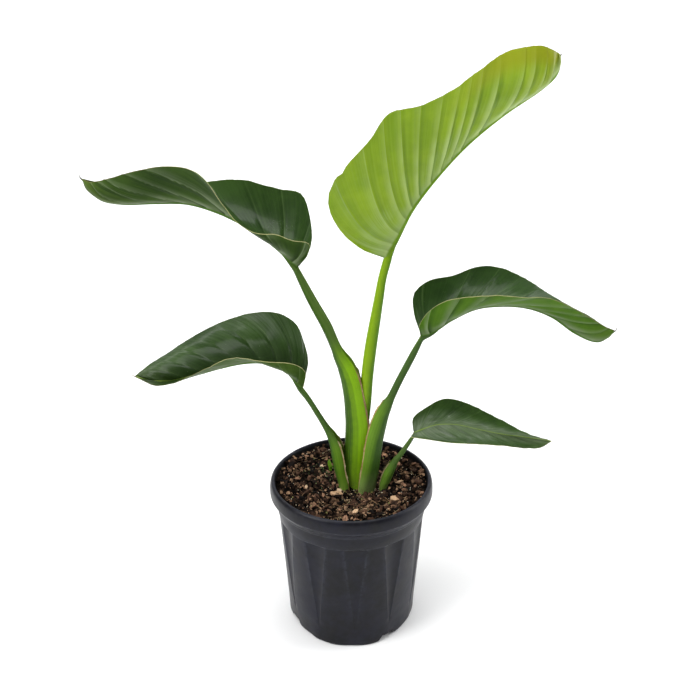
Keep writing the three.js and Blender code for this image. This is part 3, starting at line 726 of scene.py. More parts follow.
@dataclass(frozen=True)
class LeafSkin(Finish):
    """One side of a leaf blade: parallel veins, painted bands along its creases, midrib and thin dry margin.

    The bands are a painted highlight before a crease and painted shade behind it, and the thin line
    at each crease is a pale vein with a painted highlight. Streaks of painted sheen lie within a band
    of the way out to the margin, and more painted sheen lies beside the rib; the rib-side sheen is dark
    painted shade on the lower left leaf's upper side, and the streaks are dark painted shade on the
    upper left leaf's under side. `cap` colours the outer part of the near half. `through` is how much
    light passes, `glow` its colour, and `wax` the weight of a thin clear coat.
    """

    side: Side = Side.UPPER
    deep: Colour = paint(26, 50, 14)
    light: Colour = paint(50, 78, 30)
    cloud_share: float = 0.7
    streak_share: float = 0.35
    vein: Colour = paint(88, 116, 60)
    vein_share: float = 0.12
    # Painted highlight band just before each crease.
    pale: Colour = paint(96, 118, 76)
    pale_share: float = 0.12
    # Painted shade band just behind each crease.
    dark: Colour = paint(24, 46, 10)
    dark_share: float = 0.35
    # How strong the painted bands are at the base and at the margin.
    base_bands: float = 1.0
    edge_bands: float = 0.2
    # Thin line along each crease: a pale vein with a painted highlight.
    line: Colour = paint(120, 146, 88)
    line_share: float = 0.25
    rib: Colour = paint(118, 142, 62)
    rib_half: float = 1.1
    # Painted sheen beside the rib, dark painted shade on the lower left leaf's upper side; its share and its
    # reach in millimetres.
    near_rib: Colour = paint(70, 92, 60)
    near_rib_share: float = 0.25
    near_rib_reach: float = 24.0
    tip: Colour = paint(84, 104, 40)
    tip_share: float = 0.4
    tip_from: float = 0.62
    margin: Colour = paint(188, 186, 128)
    margin_late: Colour = paint(108, 104, 62)
    margin_far: Colour = paint(92, 112, 54)
    margin_wide: float = 0.35
    # Painted sheen in streaks along the veins, dark painted shade on the upper left leaf's under side; its
    # share, its band of the way out and its patches.
    bloom: Colour = paint(132, 148, 120)
    bloom_share: float = 0.0
    bloom_band: tuple[float, float] = (0.1, 0.6)
    bloom_patch: tuple[float, float] = (0.36, 0.62)
    cap: Colour = paint(168, 168, 36)
    cap_share: float = 0.0
    point: Colour = paint(70, 66, 30)
    point_band: tuple[float, float] = (0.984, 0.996)
    through: float = 0.16
    glow: Colour = paint(110, 160, 20)
    glow_share: float = 0.6
    marks: float = 0.4
    scratch: Colour = paint(176, 184, 160)
    fleck: Colour = paint(180, 186, 150)
    wax: float = 0.26
    wax_roughness: float = 0.17
    vein_pace: float = 1700.0
    vein_depth: float = 0.00012
    grain_depth: float = 0.00004

    def build(self) -> Material:
        """Builds the material.

        Returns:
            The material.
        """
        material, board, shader = self.begin()
        place = board.place()
        along, out, reach, gap = board.values_of("along", "out", "reach", "gap")
        broad, fine, height = board.effect("fibres", Across=along, Along=out, Pace=self.vein_pace)
        cloud = board.effect("mottle", Place=place, Scale=16.0)[0]
        colour = board.layers(
            board.mix(board.times(cloud, self.cloud_share), self.deep, self.light),
            (board.times(broad, self.streak_share), self.light),
            (board.span(reach, self.tip_from, 1.0, 0.0, self.tip_share), self.tip),
            # Painted light beside the rib: sheen on most leaves, shade on one.
            (board.span(gap, self.near_rib_reach, 1.0, 0.0, self.near_rib_share), self.near_rib),
            (board.times(fine, self.vein_share), self.vein),
        )
        # Painted highlight and shade bands along the creases.
        colour = self.banded(board, colour, place)
        if self.cap_share > 0.0:
            late = board.span(reach, 0.3, 0.6, 0.0, self.cap_share)
            near_half = board.math("LESS_THAN", along, FAR_FROM)
            capped = board.times(board.span(out, 0.66, 0.9), late, near_half)
            colour = board.mix(capped, colour, self.cap)
        # Streaks of painted light: sheen on most leaves, shade on one.
        colour = self.bloomed(board, colour, broad, fine)
        on_rib = board.span(gap, self.rib_half * 1.3, self.rib_half * 0.6)
        colour = board.mix(on_rib, colour, self.rib)
        colour = self.marked(board, colour, place)
        colour = self.edged(board, colour, place)
        colour = board.mix(board.span(reach, *self.point_band), colour, self.point)
        rough = board.scaled(cloud, 0.1, board.scaled(fine, 0.08, self.roughness))
        relief = board.bump(height, self.vein_depth)
        self.cover(board, shader, colour, rough, board.grained(place, 1300.0, self.grain_depth, relief))
        shader.inputs["Coat Weight"].default_value = self.wax
        shader.inputs["Coat Roughness"].default_value = self.wax_roughness
        lit = board.mix(self.glow_share, colour, self.glow)
        sheer = board.add("BsdfTranslucent", {"Color": lit, "Normal": relief})
        both = board.add("MixShader", {0: self.through, 1: shader.outputs[0], 2: sheer.outputs[0]})
        output = material.node_tree.nodes["Material Output"]
        board.feed(output.inputs["Surface"], both.outputs[0])
        return material

    def banded(self, board: Board, colour: Socket, place: Socket) -> Socket:
        """Lays the painted highlight and shade bands and the thin line of each crease, a pale vein with a
        painted highlight, over a colour.

        Args:
            board: The board to add to.
            colour: The colour below.
            place: The place on the piece.

        Returns:
            The banded colour.
        """
        strip, out, fold, reach = board.values_of("strip", "out", "fold", "reach")
        strength = board.span(board.noise(place, 26.0, 2.0), 0.3, 0.6, 0.5, 1.0)
        outward = board.span(out, 0.2, 0.95, 1.0, self.edge_bands)
        held = board.times(strength, outward, board.span(reach, 0.02, 0.3, self.base_bands, 1.0))
        return board.layers(
            colour,
            (board.times(board.span(strip, 0.52, 1.0, 0.0, self.pale_share), held), self.pale),
            (board.times(board.span(strip, 0.4, 0.02, 0.0, self.dark_share), held), self.dark),
            (board.times(board.span(fold, 0.93, 1.0, 0.0, self.line_share), strength), self.line),
        )

    def bloomed(self, board: Board, colour: Socket, broad: Socket, fine: Socket) -> Socket:
        """Lays painted sheen in streaks along the veins over a colour; where its colour is dark, it is
        painted shade.

        Args:
            board: The board to add to.
            colour: The colour below.
            broad: Broad streaks.
            fine: Fine streaks.

        Returns:
            The colour with its painted streaks.
        """
        if self.bloom_share <= 0.0:
            return colour
        low, high = self.bloom_band
        out, reach = board.values_of("out", "reach")
        across = board.times(board.span(out, low - 0.2, low + 0.1), board.span(out, high + 0.2, high - 0.1))
        patch = board.span(board.noise(board.place(), 18.0, 2.0), *self.bloom_patch)
        streaks = board.scaled(broad, 0.6, board.times(fine, 0.4))
        held = board.span(reach, 1.0, 0.8, 0.0, self.bloom_share)
        return board.mix(board.times(across, patch, streaks, held), colour, self.bloom)

    def marked(self, board: Board, colour: Socket, place: Socket) -> Socket:
        """Adds thin crooked scratches and small pale specks.

        Args:
            board: The board to add to.
            colour: The colour below.
            place: The place on the piece.

        Returns:
            The marked colour.
        """
        if self.marks <= 0.0:
            return colour
        share = self.marks * 0.5
        curl = board.noise(place, 170.0, 2.0, 0.5)
        ring = board.math("ABSOLUTE", board.math("SUBTRACT", curl, 0.55))
        where = board.span(board.noise(place, 15.0, 1.0), 0.6, 0.68, 0.0, share)
        speck = board.span(board.noise(place, 700.0, 2.0, 0.5), 0.735, 0.77, 0.0, share)
        scratched = board.times(board.span(ring, 0.012, 0.002), where)
        return board.layers(colour, (scratched, self.scratch), (speck, self.fleck))

    def edged(self, board: Board, colour: Socket, place: Socket) -> Socket:
        """Adds the dry margin, which is `margin_wide` millimetres wide and a little ragged.

        Args:
            board: The board to add to.
            colour: The colour below.
            place: The place on the piece.

        Returns:
            The colour with its margin.
        """
        along, out, reach, gap = board.values_of("along", "out", "reach", "gap")
        to_margin = board.math("SUBTRACT", board.math("DIVIDE", gap, out), gap)
        uneven = board.math("ADD", board.noise(place, 140.0, 3.0), to_margin)
        edged = board.span(uneven, self.margin_wide + 0.9, self.margin_wide + 0.4)
        dried = board.mix(board.span(reach, 0.25, 0.6), self.margin, self.margin_late)
        dried = board.mix(board.math("GREATER_THAN", along, FAR_FROM), dried, self.margin_far)
        return board.mix(edged, colour, dried)


@dataclass(frozen=True)
class StalkSkin(Finish):
    """Smooth green stalk with long fibres, darker on its back, paler at its foot, dry at its edges.

    `petiole_from` is the place up the stalk where its front takes the petiole's colour.
    """

    roughness: float = 0.4
    gloss: float = 0.15
    back: Colour = paint(52, 82, 28)
    front: Colour = paint(92, 126, 40)
    foot: Colour = paint(122, 140, 84)
    edge: Colour = paint(168, 132, 88)
    inside: Colour = paint(120, 150, 50)
    petiole: Colour = paint(80, 106, 40)
    soiled: Colour = paint(72, 60, 46)
    fleck: Colour = paint(92, 74, 38)
    petiole_from: float = 2.0
    turn_low: float = 0.5
    turn_high: float = 1.7
    foot_share: float = 0.55
    soil_share: float = 0.4
    fibre_depth: float = 0.00014
    grain_depth: float = 0.00005

    def build(self) -> Material:
        """Builds the material.

        Returns:
            The material.
        """
        material, board, shader = self.begin()
        place = board.place()
        around, up, inner, dry = board.values_of("around", "up", "inner", "dry")
        broad, fine, height = board.effect("fibres", Across=around, Along=board.times(up, 2.0), Pace=34.0)
        cloud = board.effect("mottle", Place=place, Scale=36.0)[0]
        turned = board.span(board.math("ABSOLUTE", around), self.turn_low, self.turn_high)
        varied = board.scaled(board.math("SUBTRACT", broad, 0.5), 0.35, turned)
        varied = board.math("ADD", varied, board.scaled(cloud, 0.2, -0.1), held=True)
        above = board.span(up, self.petiole_from - 0.12, self.petiole_from + 0.04)
        splash = board.span(board.noise(place, 500.0, 4.0), 0.42, 0.6)
        ragged = board.math("ADD", dry, board.scaled(board.noise(place, 220.0, 4.0), 0.5, -0.25))
        colour = board.layers(
            board.mix(varied, self.back, board.mix(above, self.front, self.petiole)),
            (board.times(fine, 0.18), self.back),
            (inner, self.inside),
            (board.span(up, 0.24, 0.1, 0.0, self.foot_share), self.foot),
            (board.times(board.span(up, 0.15, 0.1), splash, self.soil_share), self.soiled),
            (board.span(ragged, 0.5, 0.85), self.edge),
            (board.span(board.noise(place, 420.0, 3.0, 0.6), 0.71, 0.77, 0.0, 0.5), self.fleck),
        )
        relief = board.bump(height, self.fibre_depth)
        rough = board.scaled(fine, 0.12, self.roughness)
        self.cover(board, shader, colour, rough, board.grained(place, 1300.0, self.grain_depth, relief))
        return material


@dataclass(frozen=True)
class DrySkin(Finish):
    """Thin papery strip that has dried along a sheath's edge."""

    dark: Colour = paint(104, 70, 40)
    pale: Colour = paint(196, 172, 128)
    fibre_depth: float = 0.0002

    def build(self) -> Material:
        """Builds the material.

        Returns:
            The material.
        """
        material, board, shader = self.begin()
        around, up = board.values_of("around", "up")
        _, fine, height = board.effect("fibres", Across=around, Along=up, Pace=26.0)
        cloud = board.effect("mottle", Place=board.place(), Scale=90.0)[0]
        colour = board.mix(cloud, self.pale, self.dark)
        colour = board.mix(board.times(fine, 0.4), colour, self.dark)
        rough = board.scaled(cloud, 0.1, self.roughness)
        self.cover(board, shader, colour, rough, board.bump(height, self.fibre_depth))
        return material


@dataclass(frozen=True)
class Mulch(Finish):
    """Potting mix or a kind of piece in it: each piece has its own tint and a fibrous grain.

    `fibre` is how strong the grain is, `relief` how deep in metres, and `scale` the blotches' scale.
    """

    dark: Colour = paint(30, 20, 14)
    middle: Colour = paint(62, 40, 27)
    pale: Colour = paint(112, 72, 46)
    fibre: float = 0.5
    relief: float = 0.0003
    scale: float = 300.0
    grain_stretch: Triple = (1.2, 14.0, 8.0)

    def build(self) -> Material:
        """Builds the material.

        Returns:
            The material.
        """
        material, board, shader = self.begin()
        place = board.place()
        tint = board.values_of("tint")[0]
        cloud = board.effect("mottle", Place=place, Scale=self.scale)[0]
        colour = board.layers(
            board.mix(board.span(tint, 0.0, 0.55), self.dark, self.middle),
            (board.span(tint, 0.5, 1.0), self.pale),
            (board.times(cloud, 0.5), self.dark),
        )
        own = board.add("Attribute", attribute_name="own").outputs["Vector"]
        streak = board.add("VectorMath", {0: own, 1: self.grain_stretch}, operation="MULTIPLY")
        wood = board.noise(streak.outputs[0], 1.0, 4.0, 0.65)
        colour = board.mix(board.span(wood, 0.4, 0.66, 0.0, self.fibre), colour, self.dark, "MULTIPLY")
        grain = board.effect("grain", Place=place, Scale=2200.0)[0]
        height = board.math("ADD", grain, board.times(wood, self.fibre))
        rough = board.scaled(cloud, 0.08, self.roughness)
        self.cover(board, shader, colour, rough, board.bump(height, self.relief))
        return material


@dataclass(frozen=True)
class FloorPaint(Finish):
    """Plain pale studio floor."""

    pale: Colour = (0.95, 0.95, 0.95, 1.0)
    paler: Colour = (0.97, 0.97, 0.97, 1.0)

    def build(self) -> Material:
        """Builds the material.

        Returns:
            The material.
        """
        material, board, shader = self.begin()
        cloud = board.noise(board.place(), 2.0, 2.0)
        board.feed(shader.inputs["Base Color"], board.mix(cloud, self.pale, self.paler))
        shader.inputs["Roughness"].default_value = self.roughness
        return material


def dress(piece: Piece, slot: str, materials: Sequence[Material]) -> None:
    """Puts a piece on the pot's body and gives it its materials.

    Args:
        piece: The piece.
        slot: Not used.
        materials: One material for each slot of the mesh.
    """
    for material in materials:
        piece.data.materials.append(material)
    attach(piece, "root")
    LOG.info("%s: %d faces", piece.name, len(piece.data.polygons))


# ---- Pot ----------------------------------------------------------------------------------------


@dataclass
class NurseryPot:
    """Thin-walled pot that widens upward, with scooped flutes, a thick rounded rim and foot notches."""

    height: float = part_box("pot")[1].z / MM
    rim_radius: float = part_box("pot")[1].y / MM
    wall: float = 2.0
    floor: float = 3.0
    flutes: int = 11
    flute_first: float = 3.0
    flute_top: float = 142.0
    flute_end: float = 30.0
    flute_depth: float = 3.0
    half_top: float = 9.5
    half_end: float = 1.2
    scoop_steps: int = 16
    plain_steps: int = 10
    foot_out: tuple[float, ...] = (1.2, 2.4, 1.2, -1.8, -2.2, -1.2, 0.8)
    foot_fade: float = 50.0
    notch_turns: tuple[float, ...] = (35.0, 113.0, 215.0, 293.0)
    notch_width: float = 16.0
    notch_spread: float = 6.0
    notch_height: float = 8.0
    notch_inner: float = 32.0
    notch_rounding: float = 1.2
    hood_outer: float = 69.0
    cut_outer: float = 90.0
    cut_low: float = -4.0
    row_gap: float = 4.0
    rounding_steps: int = 5
    wall_inner: float = 60.0
    # Heights and widths of ledges that are painted lighter: partly wear, partly painted highlight.
    worn_ledges: tuple[tuple[float, float], ...] = ((169.6, 0.9), (159.9, 0.8), (1.0, 1.6))

    def corners(self) -> list[tuple[float, float, float, float]]:
        """The wall's section from the underside over the rim to the floor inside.

        Returns:
            Height, radius, share of the flutes' depth and rounding of each corner.
        """
        rim = self.rim_radius
        foot, collar = rim - 21.4, rim - 10.0
        top, end = self.flute_top, self.flute_end
        return [
            (0.0, 58.0, 0.0, 0.0),
            (0.0, foot - 1.0, 0.0, 0.4),
            (1.3, foot + 0.6, 0.0, 0.6),
            (4.0, foot + 1.1, 0.0, 0.5),
            (end - 8.0, 74.9, 0.0, 2.0),
            (end, 75.6, 0.12, 2.0),
            (84.0, 79.7, 0.56, 8.0),
            (top - 1.3, collar - 0.2, 1.0, 0.9),
            (top, collar + 0.1, 0.0, 0.6),
            (150.0, collar + 1.8, 0.0, 3.0),
            (158.6, collar + 2.6, 0.0, 0.5),
            (159.4, collar + 3.1, 0.0, 0.3),
            (160.6, collar + 3.1, 0.0, 0.5),
            (162.5, rim - 5.8, 0.0, 1.6),
            (168.5, rim - 0.8, 0.0, 0.5),
            (170.0, rim, 0.0, 0.6),
            (177.0, rim, 0.0, 3.0),
            (182.5, rim - 0.9, 0.0, 2.6),
            (185.0, rim - 2.8, 0.0, 1.6),
            (self.height, rim - 4.4, 0.0, 0.7),
            (self.height - 0.5, rim - 5.6, 0.0, 0.5),
            (181.0, rim - 6.4, 0.0, 1.2),
            (150.0, collar - 0.4, 0.0, 3.0),
            (top + 0.4, collar - 1.9, 0.0, 0.6),
            (top - 1.6, collar - 2.2, 1.0, 0.6),
            (84.0, 77.7, 0.56, 8.0),
            (end, 73.6, 0.12, 2.0),
            (self.floor + 1.5, 71.4, 0.0, 1.0),
            (self.floor, 70.0, 0.0, 0.6),
            (self.floor, 20.0, 0.0, 0.0),
        ]

    def rows(self) -> Array:
        """Rounds the section's corners and fills its long stretches.

        Returns:
            Height, radius and share of the flutes' depth of each row.
        """
        corners = np.array(self.corners())
        rows: list[Array] = [corners[0, :3]]
        for before, corner, after in zip(corners, corners[1:], corners[2:]):
            ends = []
            for other in (before, after):
                reach = math.hypot(*(other[:2] - corner[:2]))
                share = min(corner[3] * 1.6, 0.45 * reach) / reach
                ends.append(corner[:3] + (other[:3] - corner[:3]) * share)
            gap = math.hypot(*(ends[0][:2] - rows[-1][:2]))
            between = int(gap / self.row_gap)
            rows += [rows[-1] + (ends[0] - rows[-1]) * k / (between + 1) for k in range(1, between + 1)]
            for t in np.linspace(0.0, 1.0, self.rounding_steps):
                rows.append((1 - t) ** 2 * ends[0] + 2 * t * (1 - t) * corner[:3] + t * t * ends[1])
        rows.append(corners[-1, :3])
        return np.array(rows)

    def rings(self) -> tuple[Array, Array, Array]:
        """Lays the rows round the pot, with the flutes scooped out of them.

        Returns:
            The rings of points, how much each point lies on an edge that is painted lighter (wear and painted
            highlight), and how much on the inside, where shade is painted.
        """
        rows = self.rows()
        height, radius, share = (rows[:, k, None] for k in range(3))
        drop = clamp((self.flute_top - height) / (self.flute_top - self.flute_end))
        half = self.half_top + (self.half_end - self.half_top) * drop
        pitch = 360.0 / self.flutes
        across = np.linspace(-1.0, 1.0, self.scoop_steps + 1)[None, :]
        beside = np.linspace(0.0, 1.0, self.plain_steps + 1)[None, 1:-1]
        turns = np.concatenate([half * across, half + (pitch - 2 * half) * beside], axis=1)
        scoop = np.concatenate([1.0 - across**2, np.zeros_like(beside)], axis=1)
        outside = np.exp(-((beside / 0.1) ** 2)) + np.exp(-(((1 - beside) / 0.1) ** 2))
        lip = np.concatenate([np.abs(across) ** 14, outside], axis=1)
        starts = self.flute_first + np.arange(self.flutes) * pitch
        angle = np.radians(np.concatenate([turns + start for start in starts], axis=1) - 90.0)
        scoops, lips = np.tile(scoop, self.flutes), np.tile(lip, self.flutes)
        aside = np.arccos(clamp(np.abs(np.sin(angle)))) / (math.pi / 2)
        out = at_stations(self.foot_out, aside) * clamp(1.0 - height / self.foot_fade)
        out = out * smoothstep(40.0, 66.0, radius)
        on_wall = radius > self.wall_inner
        wobble = 0.25 * np.sin(2 * angle + 0.6) + 0.15 * np.sin(3 * angle + height / 40.0)
        wobble = wobble * smoothstep(0.0, 40.0, height) * on_wall
        r = radius + out - scoops * share * self.flute_depth + wobble
        points = np.stack([r * np.cos(angle), r * np.sin(angle), np.broadcast_to(height, r.shape)], axis=-1)
        edge = lips * clamp(share * 1.2)
        for ledge, width in (*self.worn_ledges, (self.height, 0.9), (self.flute_top, 0.9)):
            edge = np.maximum(edge, np.exp(-(((height - ledge) / width) ** 2)) * on_wall)
        after_top = (np.arange(len(rows)) > np.argmax(rows[:, 0]))[:, None]
        inside = after_top * smoothstep(self.height - 1.0, self.height - 4.0, height)
        return points, clamp(edge), inside

    def bar(self, turn: float, start: float, end: float, extra: float, low: float, high: float) -> Piece:
        """A bar that runs outward, wider below than above.

        Args:
            turn: Its angle from the front, in degrees.
            start: Radius where it starts.
            end: Radius where it ends.
            extra: How much wider it is than a notch, on each side.
            low: Height of its underside.
            high: Height of its top.

        Returns:
            The bar.
        """
        clear_selection()
        bpy.ops.mesh.primitive_cube_add(size=1.0)
        bar = bpy.context.object
        for vertex in bar.data.vertices:
            x = (start + end) / 2 + vertex.co.x * (end - start)
            z = (low + high) / 2 + vertex.co.z * (high - low)
            drop = (self.notch_height - z) / self.notch_height
            y = vertex.co.y * (self.notch_width + 2 * self.notch_spread * drop + 2 * extra)
            vertex.co = Vector((x, y, z)) * MM
        bevel(bar, self.notch_rounding * MM, 3)
        bar.data.transform(Matrix.Rotation(math.radians(turn - 90.0), 4, "Z"))
        return bar

    def build(self) -> Piece:
        """Builds the wall and floor, then raises the floor over each notch and cuts the notch.

        Returns:
            The pot.
        """
        points, edge, inside = self.rings()
        pot = tube_sheet("nursery_pot", points)
        set_on_rings(pot, edge.shape, edge=edge, inside=inside)
        weld(pot)
        wall, top = self.wall, self.notch_height
        for turn in self.notch_turns:
            hood = self.bar(turn, self.notch_inner - wall, self.hood_outer, wall, 1.0, top + wall)
            apply_boolean(pot, hood, "UNION")
        for turn in self.notch_turns:
            cutter = self.bar(turn, self.notch_inner, self.cut_outer, 0.0, self.cut_low, top)
            apply_boolean(pot, cutter, "DIFFERENCE")
        smooth(pot, 24.0)
        return pot

    def dress(self, pot: Piece) -> None:
        """Puts the plastic on the pot, which stands for the plain one."""
        dress(pot, "pot_plastic", [PotPlastic("pot_plastic", roughness=0.34, gloss=0.21).build()])
        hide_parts("pot")


# ---- Potting mix --------------------------------------------------------------------------------


@dataclass(frozen=True)
class Shape:
    """A small shape that is modelled once and copied many times."""

    points: Array
    faces: list[tuple[int, ...]]

    @staticmethod
    def taken_from(piece: Piece) -> "Shape":
        """Keeps a modelled piece's mesh as a shape and removes the piece.

        Args:
            piece: The piece.

        Returns:
            The shape.
        """
        points = np.array([vertex.co[:] for vertex in piece.data.vertices])
        faces = [tuple(polygon.vertices) for polygon in piece.data.polygons]
        bpy.data.objects.remove(piece)
        return Shape(points, faces)


@dataclass
class Scatter:
    """Copies of small shapes, gathered into one piece."""

    name: str
    points: list[Array] = field(default_factory=list)
    own: list[Array] = field(default_factory=list)
    tints: list[Array] = field(default_factory=list)
    faces: list[tuple[int, ...]] = field(default_factory=list)
    count: int = 0

    def put(
        self, shape: Shape, turn: Matrix, size: Sequence[float], at: Sequence[float], tint: float
    ) -> None:
        """Adds one copy.

        Args:
            shape: The shape.
            turn: How the copy is turned, after it is sized.
            size: Its size along its own axes, in millimetres.
            at: Its middle, in millimetres.
            tint: Its own shade, from 0 to 1.
        """
        sized = shape.points * np.asarray(size)
        self.points.append(sized @ np.array(turn.to_3x3()).T + np.asarray(at))
        self.own.append(shape.points * 0.5 + tint * 37.0)
        self.tints.append(np.full(len(sized), tint))
        self.faces += [tuple(i + self.count for i in face) for face in shape.faces]
        self.count += len(sized)

    def build(self, degrees: float) -> Piece:
        """Makes the piece.

        Args:
            degrees: The sharpest angle that still looks round.

        Returns:
            The piece.
        """
        mesh = bpy.data.meshes.new(self.name)
        points = np.concatenate(self.points) * MM
        mesh.from_pydata(points.tolist(), [], self.faces)
        piece = bpy.data.objects.new(self.name, mesh)
        bpy.context.collection.objects.link(piece)
        set_value(piece, "tint", np.concatenate(self.tints))
        own = mesh.attributes.new("own", "FLOAT_VECTOR", "POINT")
        own.data.foreach_set("vector", np.concatenate(self.own).astype(np.float32).ravel())
        smooth(piece, degrees)
        return piece


def roughened(piece: Piece, amount: float, seed: int) -> Piece:
    """Moves every point of a small shape a little at random, so that no side is even.

    Args:
        piece: The shape.
        amount: The furthest that a point moves, as a share of the shape's half size.
        seed: Which draw.

    Returns:
        The same piece.
    """
    draw = np.random.default_rng(seed)
    for vertex in piece.data.vertices:
        vertex.co += Vector(draw.uniform(-amount, amount, 3))
    return piece


def lump_shape(seed: int, amount: float = 0.3) -> Shape:
    """A crumb: an uneven ball of twenty faces.

    Args:
        seed: Which draw.
        amount: How far its corners stray.

    Returns:
        The shape.
    """
    clear_selection()
    bpy.ops.mesh.primitive_ico_sphere_add(subdivisions=1, radius=1.0)
    return Shape.taken_from(roughened(bpy.context.object, amount, seed))


def chip_shape(sides: int, seed: int) -> Shape:
    """A chip of bark: a flat many-sided slab with chamfered edges, thin along its own Y.

    Args:
        sides: How many sides it has.
        seed: Which draw.

    Returns:
        The shape.
    """
    clear_selection()
    bpy.ops.mesh.primitive_cylinder_add(vertices=sides, radius=1.0, depth=1.0, rotation=(math.pi / 2, 0, 0))
    chip = bpy.context.object
    bpy.ops.object.transform_apply(location=False, rotation=True, scale=False)
    bevel(roughened(chip, 0.14, seed), 0.1, 1)
    return Shape.taken_from(roughened(chip, 0.035, seed + 1))


def strand_shape(seed: int, rows: int = 9, sides: int = 5) -> Shape:
    """A root fibre: a thin crooked strand one unit long.

    Args:
        seed: Which draw.
        rows: Rings along it.
        sides: Points in a ring.

    Returns:
        The shape.
    """
    draw = np.random.default_rng(seed)
    steps = np.linspace(-0.5, 0.5, rows)
    sway = draw.uniform(-1.0, 1.0, (2, 3))
    bend = [sum(a * np.sin((k + 1.3) * steps * 2.4 + k) for k, a in enumerate(row)) * 0.16 for row in sway]
    middle = np.stack([steps, bend[0], bend[1] * 0.4], axis=-1)
    angles = np.arange(sides) / sides * 2 * math.pi
    width = 0.02 * (1.0 - 0.7 * np.abs(2 * steps))[:, None]
    rings = np.stack([np.zeros((rows, sides)), width * np.cos(angles), width * np.sin(angles)], axis=-1)
    strand = tube_sheet("strand", (middle[:, None, :] + rings) / MM)
    weld(strand, 1e-6)
    return Shape.taken_from(strand)


# The end of the draws for an angle, a hair over a whole turn in radians.
FULL_TURN = 6.3


@dataclass(frozen=True)
class Clump:
    """Where the first pieces of a litter gather: how many, round which spot, and how widely."""

    count: int = 0
    x: float = 0.0
    y: float = 0.0
    wide: float = 0.0
    deep: float = 0.0


@dataclass(frozen=True)
class Litter:
    """One kind of piece that lies on the bed, in millimetres.

    `shapes` of them are modelled, from the draw `shape_seed` on. The rest is strewn over a disc of
    radius `reach`, by its own draw `seed`. `sizes` are its smallest and largest size, `stretch` is
    how uneven its sides are, `raised` is how far its middle lies above the bed, and edges sharper
    than `round_to` degrees show.
    """

    name: str
    finish: Mulch
    shape_seed: int
    shapes: int
    seed: int = 0
    count: int = 0
    reach: float = 84.0
    clump: Clump = Clump()
    sizes: tuple[float, float] = (0.35, 1.0)
    stretch: tuple[float, float] = (0.6, 1.2)
    raised: float = 0.7
    round_to: float = 50.0


BARK = Litter(
    "bark_chips",
    Mulch("bark", 0.75, 0.12, paint(14, 9, 7), paint(98, 69, 53), paint(192, 146, 116), 0.75, 0.0006, 200.0),
    shape_seed=11, shapes=6, seed=5, count=560, round_to=28.0,
)
TAN = Litter(
    "tan_chips",
    Mulch("tan_bark", 0.7, 0.3, paint(176, 138, 106), paint(216, 182, 146), paint(236, 214, 184)),
    shape_seed=51, shapes=2, raised=1.0, round_to=28.0,
)
CRUMBS = Litter(
    "soil_crumbs",
    Mulch("crumb", 0.9, 0.05, paint(6, 4, 3), paint(72, 54, 42), paint(196, 156, 124), 0.45, 0.0003, 420.0),
    shape_seed=71, shapes=5, seed=17, count=2400, reach=86.0, stretch=(0.6, 1.3), round_to=40.0,
)
GRIT = Litter(
    "pale_grit",
    Mulch(
        "grit", 0.7, 0.4, paint(150, 138, 112), paint(196, 186, 160), paint(232, 226, 208), 0.1, 0.0002, 800.0
    ),
    shape_seed=81, shapes=3, seed=29, count=230, clump=Clump(90, 16.0, -12.0, 16.0, 9.0),
    sizes=(0.35, 0.95), stretch=(0.7, 1.2), round_to=60.0,
)
BEADS = Litter(
    "feed_beads",
    Mulch(
        "feed_bead", 0.45, 0.5, paint(104, 100, 44), paint(134, 130, 66), paint(166, 160, 104), 0.05, 0.0001,
        600.0,
    ),
    shape_seed=3, shapes=1, seed=37, count=28, reach=82.0, clump=Clump(14, 10.0, -16.0, 12.0, 7.0),
    sizes=(0.9, 1.4), raised=0.8, round_to=80.0,
)
MOSS = Litter(
    "moss_flecks",
    Mulch("moss", 0.85, 0.2, paint(16, 22, 10), paint(52, 64, 34), paint(136, 154, 104), 0.2, 0.0002, 600.0),
    shape_seed=61, shapes=3, seed=53, count=260, clump=Clump(260, -33.0, 20.0, 13.0, 17.0),
)
STRANDS = Litter(
    "root_fibres",
    Mulch(
        "root", 0.8, 0.3, paint(112, 82, 56), paint(176, 142, 104), paint(224, 200, 160), 0.2, 0.0002, 500.0
    ),
    shape_seed=91, shapes=5, seed=43, count=130, reach=80.0, clump=Clump(60, 4.0, -48.0, 17.0, 9.0),
    sizes=(5.0, 17.0), raised=1.0, round_to=80.0,
)


